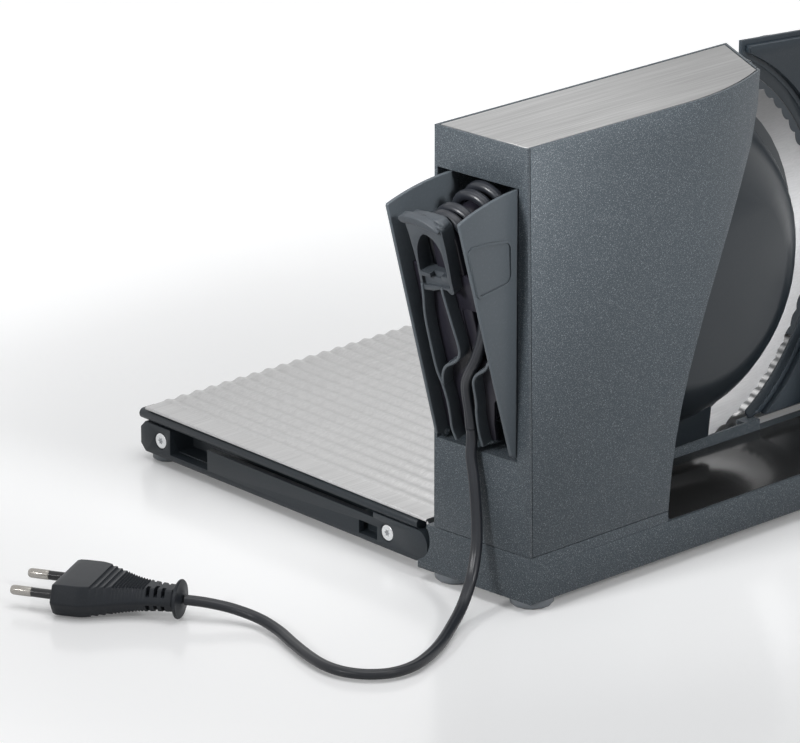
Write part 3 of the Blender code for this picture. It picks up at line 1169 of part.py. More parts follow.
def ribbon(line, thick):
    """An outline of even thickness about a line in the plane."""
    left, right = [], []
    for i, here in enumerate(line):
        run = (line[min(i + 1, len(line) - 1)] - line[max(i - 1, 0)]).normalized()
        side = Vector((-run.y, run.x, 0)) * (thick / 2)
        left.append(here + side)
        right.append(here - side)
    return left + right[::-1]


def in_cassette(outline, near_depth, far_depth):
    """An (along, height) outline pushed from one depth of the cassette to another."""
    return loft([[cassette_point(p[0], p[1], depth) for p in outline] for depth in (near_depth, far_depth)])


FAR_RIB_SHARES = ((0.76, 0.72), (0.745, 0.64), (0.772, 0.54), (0.78, 0.42), (0.78, 0.305), (0.735, 0.22), (0.735, 0.12),
                  (0.755, 0.05), (0.72, 0.018))
MIDDLE_RIB_SHARES = ((0.455, 0.70), (0.445, 0.62), (0.43, 0.54), (0.413, 0.455), (0.43, 0.405), (0.515, 0.365),
                     (0.655, 0.335), (0.715, 0.29), (0.712, 0.225), (0.635, 0.175), (0.625, 0.12), (0.66, 0.018))
NEAR_RIB_SHARES = ((0.045, 0.41), (0.13, 0.372), (0.26, 0.335), (0.32, 0.295), (0.34, 0.235), (0.352, 0.195),
                   (0.385, 0.155), (0.405, 0.08), (0.40, 0.018))
HOOK_SHARES = ((0.76, 0.725), (0.78, 0.80), (0.765, 0.90), (0.70, 0.945), (0.50, 0.955), (0.34, 0.935), (0.28, 0.88),
               (0.285, 0.80), (0.33, 0.725))
HOOK_HOLE_SHARES = ((0.68, 0.79), (0.69, 0.85), (0.63, 0.895), (0.52, 0.905), (0.41, 0.89), (0.36, 0.84),
                    (0.385, 0.785), (0.53, 0.765))
LIP_SHARES = ((0.86, 0.935), (0.80, 0.955), (0.66, 0.975), (0.50, 0.985), (0.34, 0.985), (0.20, 0.965), (0.19, 0.945),
              (0.30, 0.945), (0.42, 0.94), (0.60, 0.935), (0.74, 0.92), (0.84, 0.91))
PAD_SHARES = ((0.0, 0.705), (0.35, 0.665), (0.66, 0.630), (0.76, 0.645), (0.795, 0.70), (0.79, 0.79), (0.73, 0.825),
              (0.50, 0.865), (0.24, 0.905), (0.0, 0.92))


def racetrack(radius, low, high, steps=8):
    return [Vector((u, h, 0)) for u, h in (
        *arc(CORE_U, high, radius, 0, 180, steps), *arc(CORE_U, low, radius, 180, 360, steps))]


CORE_HIGH = CORE_TOP - CORE_RADIUS
CORE_LOW = CORE_FOOT + CORE_RADIUS


def cheek_outline():
    """(height, depth) outline of a cheek; its top is an arc about the hinge pin."""
    pin_d = CASSETTE_PIN_SET
    start = math.asin(-pin_d / CHEEK_HEIGHT)
    stop = math.asin((CHEEK_DEPTH - pin_d) / CHEEK_HEIGHT)
    top = []
    for i in range(9):
        angle = start + (stop - start) * i / 8
        top.append((CHEEK_HEIGHT * math.cos(angle), pin_d + CHEEK_HEIGHT * math.sin(angle)))
    toe = CASSETTE_PIN_HEAD
    return [*top, (toe, CHEEK_DEPTH), (toe / 2, pin_d + 2 * toe), *[
        (-toe * math.sin(math.radians(t)), pin_d + toe * math.cos(math.radians(t))) for t in range(0, 181, 30)],
        (toe, 0)]


def far_cheek(height, depth):
    """Inner face of the far cheek, which keeps square to the compartment and leans in as it rises."""
    return CASSETTE_FAR - CHEEK - depth * math.tan(END_SKEW) - FAR_CHEEK_LEAN * max(height, 0) / CHEEK_HEIGHT


def cassette(pivot):
    """Two cheeks, a web with guide ribs and a hook in front, and the core that the cord is wound on."""
    near_inner = CASSETTE_NEAR + CHEEK

    def cheek_body(face):
        return loft([[cassette_point(face(h, d) + k * CHEEK, h, d) for h, d in cheek_outline()] for k in (0, 1)])

    bite = CHEEK / 2
    web = [Vector((u, h, 0)) for u, h in (
        (near_inner - bite, WEB_FOOT), (far_cheek(WEB_FOOT, WEB_DEPTH) + bite, WEB_FOOT),
        (far_cheek(WEB_TOP, WEB_DEPTH) + bite, WEB_TOP), (near_inner - bite, WEB_TOP))]
    body = thing("cassette", cheek_body(lambda h, d: CASSETTE_NEAR), CASSETTE_PLASTIC, origin=CASSETTE_AXIS,
                 pivot=pivot)
    join(body, in_cassette(web, WEB_DEPTH, WEB_DEPTH + WEB_THICK))
    join(body, cheek_body(far_cheek))
    root = WEB_DEPTH + WEB_THICK / 2
    for number, shares in enumerate((FAR_RIB_SHARES, MIDDLE_RIB_SHARES, NEAR_RIB_SHARES)):
        proud = (number + 1) * CLEAR
        join(body, in_cassette(ribbon(share_line(shares), RIB_THICK), proud, root))
    core_front = WEB_DEPTH + WEB_THICK / 3
    join(body, in_cassette(racetrack(CORE_RADIUS, CORE_LOW, CORE_HIGH), core_front, CORE_BACK))
    join(body, in_cassette(share_line(HOOK_SHARES), WEB_DEPTH / 3, WEB_DEPTH + WEB_THICK * 0.8))
    join(body, in_cassette(share_line(LIP_SHARES, 2), CLEAR, WEB_DEPTH + WEB_THICK * 0.6))
    cut(body, in_cassette(share_line(HOOK_HOLE_SHARES), -OVER, WEB_DEPTH + WEB_THICK + OVER))
    cut(body, in_cassette(racetrack(CORE_RADIUS - CORE_WALL, CORE_LOW, CORE_HIGH), WEB_DEPTH + 1.6 * WEB_THICK,
                          CORE_BACK + OVER))
    window = [Vector((u, h, 0)) for u, h in (
        (WINDOW_NEAR, WINDOW_FOOT), (WINDOW_FAR, WINDOW_FOOT + (WINDOW_FAR - WINDOW_NEAR) / 4),
        (WINDOW_FAR, WINDOW_TOP), (WINDOW_NEAR, WINDOW_TOP))]
    cut(body, in_cassette(window, WEB_DEPTH - WEB_THICK / 2, WEB_DEPTH + WEB_THICK * 1.2))
    pad_far = CHEEK_DEPTH
    pad = [(h * CHEEK_HEIGHT, d * pad_far) for d, h in PAD_SHARES]
    pad = [(h, max(d, CLEAR)) for h, d in pad]
    join(body, loft([[cassette_point(CASSETTE_NEAR + k, h, d) for h, d in pad] for k in (-PAD_THICK, CHEEK / 2)]))
    depth = TURN_DEPTHS[0]
    shelf_near = lead_in_u() - GLAND_FLANGE - CLEAR
    shelf_far = far_cheek(SHELF_FOOT, depth - GLAND_FLANGE) + bite
    shelf = [Vector((u, h, 0)) for u, h in (
        (shelf_near, SHELF_FOOT), (shelf_far, SHELF_FOOT), (shelf_far, SHELF_FOOT + SHELF_THICK),
        (shelf_near, SHELF_FOOT + SHELF_THICK))]
    join(body, in_cassette(shelf, depth - GLAND_FLANGE - CLEAR, CHEEK_DEPTH - CLEAR))
    cut(body, turned([(0, SHELF_FOOT - OVER), (GLAND_RADIUS + CLEAR, SHELF_FOOT - OVER),
                      (GLAND_RADIUS + CLEAR, SHELF_FOOT + SHELF_THICK + OVER),
                      (0, SHELF_FOOT + SHELF_THICK + OVER)],
                     cassette_point(lead_in_u(), 0, depth), CASSETTE_UP, SMALL_ROUND_STEPS))
    pin_bore = CASSETTE_PIN_RADIUS + CLEAR / 2
    for wall in (BAY_NEAR, BAY_FAR):
        cut(body, rod(pin_bore, pin_place(wall - OVER), END_ALONG, 2 * OVER, SMALL_ROUND_STEPS))


def turn_radius():
    return CORE_RADIUS + TURN_GAP + CORD_RADIUS


def pin_place(y):
    """The point of the cassette's hinge line at a distance from the logo face."""
    return CASSETTE_AXIS + END_ALONG * ((y - CASSETTE_AXIS.y) / END_ALONG.y)


def cassette_pins():
    """Stub pins from the compartment's walls into the cheeks."""
    bite = CASSETTE_PIN_BITE
    reach = CASSETTE_GAP + CHEEK + CLEAR
    near_start = BAY_NEAR - bite - CASSETTE_PIN_HEAD + CLEAR
    for name, low, high in (("cassette_pin_near", near_start, BAY_NEAR + reach),
                            ("cassette_pin_far", BAY_FAR - reach, BAY_FAR + bite)):
        place = pin_place(low)
        thing(name, rod(CASSETTE_PIN_RADIUS, place, END_ALONG, high - low, SMALL_ROUND_STEPS), BRIGHT_STEEL,
              origin=place)


def cord_gland(pivot):
    """Bush in the cassette's shelf where the lead goes on into the machine."""
    centre = cassette_point(lead_in_u(), SHELF_FOOT, TURN_DEPTHS[0])
    bore = CORD_RADIUS / 2
    flange_low = SHELF_THICK + CLEAR
    high = flange_low + GLAND_FLANGE_THICK
    low = high - GLAND_LENGTH
    profile = [(bore, low), (GLAND_RADIUS, low), (GLAND_RADIUS, flange_low), (GLAND_FLANGE, flange_low),
               (GLAND_FLANGE, high), (bore, high)]
    thing("cord_gland", turned(profile, centre, CASSETTE_UP, SMALL_ROUND_STEPS + 4), CORD_RUBBER, origin=centre,
          pivot=pivot)
    return SHELF_FOOT + high


# the lead's way out of the winding: through the window, down between the ribs and out over the sill,
# as (along, height, depth) of the cassette
LEAD_OUT = ((0.0164, 0.0665, 0.0102), (0.0164, 0.0610, 0.0098), (0.0165, 0.0560, 0.0084), (0.0169, 0.0510, 0.0062),
            (0.0182, 0.0460, 0.0042), (0.0207, 0.0410, 0.0032), (0.0243, 0.0358, 0.0029), (0.0275, 0.0300, 0.0029),
            (0.0286, 0.0235, 0.0028), (0.0287, 0.0165, 0.0023), (0.0288, 0.0095, 0.0012))


def lead_in_u():
    """Where the lead rises from its gland, a turn's width outside the winding."""
    return CORE_U + turn_radius() + 2 * CORD_RADIUS + TURN_GAP


def cord_wound(pivot, gland_top):
    """Four turns on the core, deepest first, then the lead to the front; one unbroken tube."""
    radius = turn_radius()
    half_run = (CORE_HIGH - CORE_LOW) / 2
    bend = math.pi * radius
    lap = 2 * bend + 4 * half_run

    def on_track(travel):
        """(along, height) after a length of travel: up the far side, over the top, down the near side."""
        s = travel % lap
        if s < 2 * half_run:
            return CORE_U + radius, CORE_LOW + s
        s -= 2 * half_run
        if s < bend:
            angle = s / radius
            return CORE_U + radius * math.cos(angle), CORE_HIGH + radius * math.sin(angle)
        s -= bend
        if s < 2 * half_run:
            return CORE_U - radius, CORE_HIGH - s
        angle = (s - 2 * half_run) / radius
        return CORE_U - radius * math.cos(angle), CORE_LOW - radius * math.sin(angle)

    arc_steps = TURN_STEPS // 3
    run_steps = TURN_STEPS // 2 - arc_steps
    half_lap = [2 * half_run * k / run_steps for k in range(run_steps)] + [
        2 * half_run + bend * k / arc_steps for k in range(arc_steps)]
    stations = half_lap + [travel + lap / 2 for travel in half_lap]
    points = [(lead_in_u(), gland_top + CLEAR + k * CORD_RADIUS * 2, TURN_DEPTHS[0]) for k in (0, 1)]
    drift_steps = 7
    low = CORE_LOW + half_run * LEAD_IN_SHARE
    for k in range(drift_steps):
        share = k / drift_steps
        drift = share * share * (3 - 2 * share)
        points.append((lead_in_u() + (CORE_U + radius - lead_in_u()) * drift, low + (CORE_HIGH - low) * share,
                       TURN_DEPTHS[0]))
    for turn, depth in enumerate(TURN_DEPTHS):
        deeper = TURN_DEPTHS[turn - 1] if turn else depth
        for travel in stations:
            if turn == 0 and travel < 2 * half_run:
                continue
            if turn == len(TURN_DEPTHS) - 1 and travel > 2 * half_run + bend + LEAD_OUT_DROP:
                break
            u, h = on_track(travel)
            climb = min(travel / (2 * half_run), 1)
            points.append((u, h, deeper + (depth - deeper) * climb * climb * (3 - 2 * climb)))
    points += [tuple(p) for p in smooth_line([Vector(p) for p in LEAD_OUT], 2)]
    line = [cassette_point(*p) for p in points]
    tube("cord_wound", line, CORD_RADIUS, 1, CORD_RUBBER, pivot)
    print("cord_wound least gap to itself, mm:", round(least_gap(line, CORD_RADIUS) * 1000, 2))
    return line[-2], line[-1]


def least_gap(line, radius):
    """The least distance between stretches of the line that are no neighbours, less the tube."""
    dense = []
    for a, b in zip(line, line[1:]):
        steps = max(int((b - a).length / radius), 1)
        dense += [a.lerp(b, k / steps) for k in range(steps)]
    ways = [0.0]
    for a, b in zip(dense, dense[1:]):
        ways.append(ways[-1] + (b - a).length)
    least = 1.0
    for i, a in enumerate(dense):
        for j in range(i + 1, len(dense)):
            if ways[j] - ways[i] > 4 * math.pi * radius:
                least = min(least, (a - dense[j]).length)
    return least - 2 * radius


def tube(name, line, radius, resolution, material, pivot=None):
    curve = bpy.data.curves.new(name, "CURVE")
    curve.dimensions = "3D"
    spline = curve.splines.new("POLY")
    spline.points.add(len(line) - 1)
    for point, place in zip(spline.points, line):
        point.co = (*place, 1)
    curve.bevel_depth = radius
    curve.bevel_resolution = resolution
    curve.use_fill_caps = True
    curve.materials.append(material)
    made = bpy.data.objects.new(name, curve)
    bpy.context.scene.collection.objects.link(made)
    if pivot:
        made.parent = pivot
        made.matrix_parent_inverse = Matrix.Translation(pivot.location).inverted()
    return made


# ---------------------------------------------------------------- free cord and plug
PLUG_AXIS = Vector((math.cos(PLUG_HEADING), math.sin(PLUG_HEADING), 0))
PLUG_SIDE = Vector((-math.sin(PLUG_HEADING), math.cos(PLUG_HEADING), 0))

CORD_ROUTE = ((-0.0058, 0.0284, 0.0610), (-0.0062, 0.0262, 0.0517), (-0.0066, 0.0245, 0.0397), (-0.0080, 0.0225, 0.0281),
              (-0.0104, 0.0209, 0.0206), (-0.0152, 0.0187, 0.0120), (-0.0243, 0.0141, 0.0054), (-0.0367, 0.0071, 0.0027),
              (-0.0501, -0.0015, 0.0026), (-0.0627, -0.0074, 0.0026), (-0.0741, -0.0104, 0.0026),
              (-0.0840, -0.0100, 0.0026), (-0.0908, -0.0062, 0.0026), (-0.0948, 0.0008, 0.0026),
              (-0.0963, 0.0107, 0.0026), (-0.0948, 0.0227, 0.0026), (-0.0911, 0.0368, 0.0026),
              (-0.0853, 0.0540, 0.0026), (-0.0815, 0.0685, 0.0028), (-0.0830, 0.0775, 0.0036),
              (-0.0880, 0.0840, 0.0052))


def cord_free(before, start):
    """The lead from the cassette's foot down to the table and in a loop to the plug."""
    flange = PLUG_ROOT - PLUG_AXIS * (PLUG_LENGTH + PLUG_FLANGE_THICK + 2 * CLEAR)
    run_in = CORD_RADIUS * 2
    way_in = (start - before).normalized()
    route = [start + way_in * CLEAR, start + way_in * (CLEAR + run_in), *[Vector(p) for p in CORD_ROUTE],
             flange - PLUG_AXIS * run_in, flange]
    dense = smooth_line(route, 12)
    ways = [0.0]
    for a, b in zip(dense, dense[1:]):
        ways.append(ways[-1] + (b - a).length)
    line = []
    k = 0
    for i in range(CORD_STEPS):
        want = ways[-1] * i / (CORD_STEPS - 1)
        while k < len(ways) - 2 and ways[k + 1] < want:
            k += 1
        span = ways[k + 1] - ways[k]
        line.append(dense[k].lerp(dense[k + 1], (want - ways[k]) / span if span else 0))
    tube("cord_free", line, CORD_RADIUS, 2, CORD_RUBBER)


def plug_point(back, side, height):
    return PLUG_ROOT - PLUG_AXIS * back + PLUG_SIDE * side + UP * height


def plug_section(back, width_share, height_share, corner_share):
    """One rounded section of the plug across its axis."""
    half_w, half_h = PLUG_WIDTH / 2 * width_share, PLUG_HEIGHT / 2 * height_share
    corner = min(half_w, half_h) * corner_share
    points = []
    for cu, cv, start in ((half_w - corner, half_h - corner, 0), (corner - half_w, half_h - corner, 90),
                          (corner - half_w, corner - half_h, 180), (half_w - corner, corner - half_h, 270)):
        points += [plug_point(back, u, v) for u, v in arc(cu, cv, corner, start, start + 90, 3)]
    return points


PLUG_SHARES = ((0.0, 0.93, 0.84, 0.45), (0.02, 0.99, 0.96, 0.5), (0.08, 1.0, 1.0, 0.5), (0.26, 0.99, 1.0, 0.5),
               (0.34, 0.93, 0.99, 0.55), (0.42, 0.82, 0.96, 0.6), (0.50, 0.70, 0.92, 0.65), (0.60, 0.56, 0.86, 0.7),
               (0.72, 0.44, 0.80, 0.75), (0.84, 0.355, 0.76, 0.8), (1.0, 0.31, 0.72, 0.85))


def plug():
    """Flat two-pin plug: a waisted body, a bend relief with a flange, and two round pins."""
    rings = [plug_section(PLUG_LENGTH * back, width, height, corner) for back, width, height, corner in PLUG_SHARES]
    body = thing("plug_body", loft(rings), CORD_RUBBER, origin=PLUG_ROOT)
    flange_start = plug_point(PLUG_LENGTH - CLEAR * 3, 0, 0)
    edge = PLUG_FLANGE_THICK / 4
    profile = [(0, 0), (PLUG_FLANGE_RADIUS - edge, 0), (PLUG_FLANGE_RADIUS, edge),
               (PLUG_FLANGE_RADIUS, PLUG_FLANGE_THICK - edge),
               (PLUG_FLANGE_RADIUS - edge, PLUG_FLANGE_THICK + CLEAR * 3), (0, PLUG_FLANGE_THICK + CLEAR * 3)]
    join(body, turned(profile, flange_start, -PLUG_AXIS, SMALL_ROUND_STEPS + 8))
    for number, side in ((1, PLUG_PIN_SPACING / 2), (2, -PLUG_PIN_SPACING / 2)):
        root = plug_point(0, side, 0)
        bite = PLUG_PIN_RADIUS * 2
        cut(body, rod(PLUG_PIN_RADIUS + CLEAR, root - PLUG_AXIS * bite, PLUG_AXIS, bite + OVER, SMALL_ROUND_STEPS))
        tip = PLUG_PIN_RADIUS / 2
        profile = [(0, 0), (PLUG_PIN_RADIUS, 0), (PLUG_PIN_RADIUS, bite + PLUG_PIN_LENGTH - tip),
                   (PLUG_PIN_RADIUS - tip, bite + PLUG_PIN_LENGTH), (0, bite + PLUG_PIN_LENGTH)]
        thing(f"plug_pin_{number}", turned(profile, root - PLUG_AXIS * (bite - CLEAR), PLUG_AXIS, SMALL_ROUND_STEPS),
              BRIGHT_STEEL, origin=root)


# ---------------------------------------------------------------- assembly
def build():
    base_casting()
    feet()
    tower_housing()
    face_panel()
    top_plate()
    gear_cover()
    gear_plate()
    bushes()
    blade_pivot = axis_empty("blade_axis", BLADE_CENTRE)
    blade_shaft(blade_pivot)
    blade(blade_pivot)
    worm_wheel(blade_pivot)
    blade_lock(blade_pivot)
    worm(axis_empty("worm_axis", WORM_AXIS))
    motor()
    motor_bracket()
    stop_pivot = axis_empty("stop_slide", Vector((CARRIER_X, STOP_FRONT, TRAY)))
    stop_plate(stop_pivot)
    stop_carrier(stop_pivot)
    guide_rail()
    guide_housing()
    buttons([axis_empty(name, button_face(x)) for name, (x, _, _) in zip(("power_axis", "lock_axis"), button_places())])
    knob_pivot = axis_empty("knob_axis", knob_axis())
    pinion(knob_pivot)
    thickness_knob(knob_pivot)
    support_frame()
    carriage_pivot = axis_empty("carriage_slide", Vector((0, ROD_NEAR_Y, FOOT_HEIGHT + ROD_HEIGHT)))
    carriage_plate(carriage_pivot)
    edge_profiles(carriage_pivot)
    slide_blocks(carriage_pivot)
    carriage_wall(carriage_pivot)
    cassette_pivot = axis_empty("cassette_axis", CASSETTE_AXIS)
    cassette(cassette_pivot)
    cassette_pins()
    gland_top = cord_gland(cassette_pivot)
    cord_free(*cord_wound(cassette_pivot, gland_top))
    plug()
    for made in bpy.context.scene.objects:
        if made.parent is None:
            made.location -= Vector((FOOT_INSET, FOOT_INSET, 0))


build()
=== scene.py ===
# %% [markdown]
# # A food slicer, dressed for its photograph
# The frame holds a compact electric food slicer as closed solids that already have their real size and place. Solids
# with the right shape keep their mesh and get better materials. Those that the photograph shows finer than a solid
# can carry are modelled again by hand.

# %% Load the frame and measure it
import json
import math

import bmesh
import bpy
from mathutils import Matrix, Vector
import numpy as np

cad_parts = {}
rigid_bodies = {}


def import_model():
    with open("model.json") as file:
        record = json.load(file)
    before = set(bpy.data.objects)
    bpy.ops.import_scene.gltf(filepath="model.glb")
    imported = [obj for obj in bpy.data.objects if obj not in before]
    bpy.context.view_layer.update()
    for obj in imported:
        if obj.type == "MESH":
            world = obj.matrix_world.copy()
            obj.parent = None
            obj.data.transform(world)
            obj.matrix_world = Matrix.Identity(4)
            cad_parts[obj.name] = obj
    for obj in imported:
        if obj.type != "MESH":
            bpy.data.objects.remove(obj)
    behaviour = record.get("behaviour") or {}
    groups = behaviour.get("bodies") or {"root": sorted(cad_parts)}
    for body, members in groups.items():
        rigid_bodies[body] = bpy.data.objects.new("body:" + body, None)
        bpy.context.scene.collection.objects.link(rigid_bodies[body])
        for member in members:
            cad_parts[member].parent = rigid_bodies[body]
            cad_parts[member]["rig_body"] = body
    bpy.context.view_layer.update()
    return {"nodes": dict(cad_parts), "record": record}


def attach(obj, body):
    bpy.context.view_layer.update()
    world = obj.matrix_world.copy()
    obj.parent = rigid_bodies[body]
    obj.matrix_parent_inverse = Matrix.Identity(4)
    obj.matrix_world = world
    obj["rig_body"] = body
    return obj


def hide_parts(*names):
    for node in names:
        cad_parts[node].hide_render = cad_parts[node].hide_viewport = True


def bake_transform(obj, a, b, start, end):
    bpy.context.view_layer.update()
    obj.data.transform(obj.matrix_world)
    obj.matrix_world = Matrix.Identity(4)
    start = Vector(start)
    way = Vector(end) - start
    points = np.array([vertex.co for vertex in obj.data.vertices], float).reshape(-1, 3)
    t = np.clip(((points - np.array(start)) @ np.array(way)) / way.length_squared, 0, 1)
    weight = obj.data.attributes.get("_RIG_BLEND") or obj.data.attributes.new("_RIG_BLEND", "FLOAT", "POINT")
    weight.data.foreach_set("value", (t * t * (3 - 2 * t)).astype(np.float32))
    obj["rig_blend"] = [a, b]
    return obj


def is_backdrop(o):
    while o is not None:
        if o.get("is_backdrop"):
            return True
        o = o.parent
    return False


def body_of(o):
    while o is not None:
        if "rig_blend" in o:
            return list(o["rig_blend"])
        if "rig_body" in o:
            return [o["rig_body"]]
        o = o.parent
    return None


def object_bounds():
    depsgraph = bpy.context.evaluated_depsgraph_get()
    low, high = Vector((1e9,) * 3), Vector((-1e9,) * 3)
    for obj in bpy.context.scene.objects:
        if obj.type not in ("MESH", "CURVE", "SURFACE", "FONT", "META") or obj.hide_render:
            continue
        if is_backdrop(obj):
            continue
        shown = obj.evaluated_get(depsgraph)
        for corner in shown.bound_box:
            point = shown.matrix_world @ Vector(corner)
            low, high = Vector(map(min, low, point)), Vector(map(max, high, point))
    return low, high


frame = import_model()
for node in bpy.context.selected_objects:
    node.select_set(False)

# %% [markdown]
# ## The camera
# The photograph was taken from far away with a long lens. Place and lens come from fitting the straight edges of the
# base and of the top plate, so they are given as measured and not as round numbers.

# %% Camera
LENS, SENSOR = 258.77, 36
EYE = Vector((-1.4585, -1.52326, 0.86894))
YAW, PITCH, ROLL = math.radians(47.657), math.radians(20.099), math.radians(-0.056)
NEAREST, FARTHEST = 0.05, 30

bpy.ops.object.camera_add(location=EYE)
camera = bpy.context.object
camera.name = "photo_camera"
camera.data.lens, camera.data.sensor_width = LENS, SENSOR
camera.data.clip_start, camera.data.clip_end = NEAREST, FARTHEST
look = Vector((math.cos(YAW) * math.cos(PITCH), math.sin(YAW) * math.cos(PITCH), -math.sin(PITCH)))
camera.rotation_euler = (look.to_track_quat("-Z", "Y") @ Matrix.Rotation(ROLL, 3, "Z").to_quaternion()).to_euler()
bpy.context.scene.camera = camera
print("camera", [round(c, 3) for c in camera.location], "lens", LENS)

# %% [markdown]
# ## Node tools
# Light, floor and finishes are trees of shader nodes. **add_node** makes a node, sets its properties and fills its
# inputs: a value is written on the socket, another node's output is linked to it.

# %% Node tools
WHITE = (1, 1, 1, 1)


def set_inputs(tree, node, inputs):
    """Writes values on a node's inputs, or links outputs to them; the keys are input names or numbers."""
    for key, value in dict(inputs).items():
        if isinstance(value, bpy.types.NodeSocket):
            tree.links.new(value, node.inputs[key])
        else:
            node.inputs[key].default_value = value


def add_node(tree, kind, inputs=(), **settings):
    """A shader node with its properties and inputs set."""
    node = tree.nodes.new("ShaderNode" + kind)
    for name, value in settings.items():
        setattr(node, name, value)
    set_inputs(tree, node, inputs)
    return node


def maths(tree, operation, *values, clamp=False):
    return add_node(tree, "Math", enumerate(values), operation=operation, use_clamp=clamp).outputs[0]


def vectors(tree, operation, vector, second, key=1):
    return add_node(tree, "VectorMath", {0: vector, key: second}, operation=operation).outputs


def ranged(tree, value, low, high, to_low=0.0, to_high=1.0, **settings):
    """A value taken from one range to another and clamped there."""
    return add_node(tree, "MapRange", enumerate((value, low, high, to_low, to_high)), **settings).outputs["Result"]


def mixed(tree, share, first, second):
    """A colour between two others."""
    return add_node(tree, "Mix", {"Factor": share, 6: first, 7: second}, data_type="RGBA").outputs[2]


def seen_directly(tree):
    """1 for a ray from the camera, or one that a gloss or a glass sends on; 0 for light that spreads."""
    ray = add_node(tree, "LightPath").outputs
    found = maths(tree, "MAXIMUM", ray["Is Camera Ray"], ray["Is Glossy Ray"])
    return maths(tree, "MAXIMUM", found, ray["Is Transmission Ray"])


# %% [markdown]
# ## Light and floor
# The machine stands on a glossy white table in a bright studio. The Light Path node tells when the world is looked
# at, directly or in a reflection: then it is pure white. Every other ray gets less, so that a colour renders about as
# it is written.

# %% World
WORLD_LIGHT, WORLD_TINT = 0.28, (0.95, 0.97, 1.0, 1)
world = bpy.data.worlds.new("studio")
bpy.context.scene.world = world
world.use_nodes = True
sky = world.node_tree
sky.nodes.clear()
lit = add_node(sky, "Background", {"Color": WORLD_TINT, "Strength": WORLD_LIGHT})
seen = add_node(sky, "Background", {"Color": WHITE})
pick = add_node(sky, "MixShader", {0: seen_directly(sky), 1: lit.outputs[0], 2: seen.outputs[0]})
add_node(sky, "OutputWorld", {"Surface": pick.outputs[0]})
bpy.context.scene.view_settings.view_transform = "Standard"
print("world light", WORLD_LIGHT)

# %% [markdown]
# Four square lamps shape it. A key over the near side and a fill from the cord end light the top of one face each
# with a narrow spread, so that both faces darken towards the table. A wide sheet lights what lies flat, and a small
# lamp at the right catches the blade's ground ring.

# %% Lamps
# name, place, target, size, watts, spread in degrees
LAMPS = (("key_over_near_side", (0.0, -0.62, 0.50), (0.04, 0.0, 0.165), 0.16, 0.155, 29),
         ("fill_from_cord_end", (-0.85, 0.10, 0.50), (-0.01, 0.03, 0.195), 0.16, 0.29, 29),
         ("top_sheet", (0.0, -0.05, 1.4), (0.10, 0.08, 0.08), 1.1, 8.6, 180),
         ("blade_edge", (0.45, -0.40, 0.28), (0.185, 0.045, 0.065), 0.10, 0.023, 16))
for name, place, target, size, watts, spread in LAMPS:
    bpy.ops.object.light_add(type="AREA", location=place)
    lamp = bpy.context.object
    lamp.name = name
    lamp.data.size, lamp.data.energy, lamp.data.spread = size, watts, math.radians(spread)
    lamp.rotation_euler = (Vector(target) - Vector(place)).to_track_quat("-Z", "Y").to_euler()
print("lamps:", ", ".join(row[0] for row in LAMPS))

# %% [markdown]
# The floor is one big plane of white lacquer that mirrors a tenth of what stands on it. For spread light it is a mid
# grey, so that it doesn't fill the shade under the machine. Away from the machine it glows a little more, so that it
# runs out into plain white.

# %% Floor
FLOOR_SIZE, FLOOR_LEVEL, SHADE_GREY = 14, -0.0002, (0.22, 0.22, 0.22, 1)
MIRROR_SHARE, MIRROR_BLUR = 0.12, 0.16
GLOW_MIDDLE, GLOW_REACH, GLOW = (0.08, 0.06, 0), (0.17, 0.50), (0.14, 0.50)
bpy.ops.mesh.primitive_plane_add(size=FLOOR_SIZE, location=(0, 0, FLOOR_LEVEL))
floor = bpy.context.object
floor.name = "floor"
lacquer = bpy.data.materials.new("white_table")
lacquer.use_nodes = True
table = lacquer.node_tree
shell = table.nodes["Principled BSDF"]
looked_at = seen_directly(table)
away = vectors(table, "DISTANCE", add_node(table, "TexCoord").outputs["Object"], GLOW_MIDDLE)["Value"]
glow = maths(table, "MULTIPLY", looked_at, ranged(table, away, *GLOW_REACH, *GLOW, interpolation_type="SMOOTHSTEP"))
set_inputs(table, shell, {
    "Base Color": mixed(table, looked_at, SHADE_GREY, WHITE), "Roughness": 0.5, "Specular IOR Level": 0.2,
    "Emission Color": WHITE, "Emission Strength": glow})
mirror = add_node(table, "BsdfGlossy", {"Roughness": MIRROR_BLUR})
sheen = add_node(table, "MixShader", {0: MIRROR_SHARE, 1: shell.outputs[0], 2: mirror.outputs[0]})
set_inputs(table, table.nodes["Material Output"], {"Surface": sheen.outputs[0]})
floor.data.materials.append(lacquer)
floor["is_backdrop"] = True
print("floor:", FLOOR_SIZE, "m wide")

# %% [markdown]
# ## Finishes
# Three effects come back: the grain of paint and plastic, the lines of brushed steel, and the slow change of tone
# that handling leaves. Each is a node group with named sockets. All read Object coordinates, and because every piece
# has its object at the origin, one unit of the pattern is one metre on the machine.

# %% Node group helpers
FLOAT, VECTOR = "NodeSocketFloat", "NodeSocketVector"


def new_group(name, inputs, outputs):
    """An empty shader group that takes a Vector and some numbers: the group, its inputs' sockets, its output node."""
    group = bpy.data.node_groups.new(name, "ShaderNodeTree")
    group.interface.new_socket(name="Vector", in_out="INPUT", socket_type=VECTOR)
    for socket, value in inputs.items():
        group.interface.new_socket(name=socket, in_out="INPUT", socket_type=FLOAT).default_value = value
    for socket in outputs:
        group.interface.new_socket(name=socket, in_out="OUTPUT", socket_type=FLOAT)
    print(f"group {name} gives", " and ".join(outputs))
    return group, group.nodes.new("NodeGroupInput").outputs, group.nodes.new("NodeGroupOutput")


def noise(tree, vector, scale, detail=2.0, roughness=0.5):
    inputs = {"Vector": vector, "Scale": scale, "Detail": detail, "Roughness": roughness}
    return add_node(tree, "TexNoise", inputs).outputs[0]


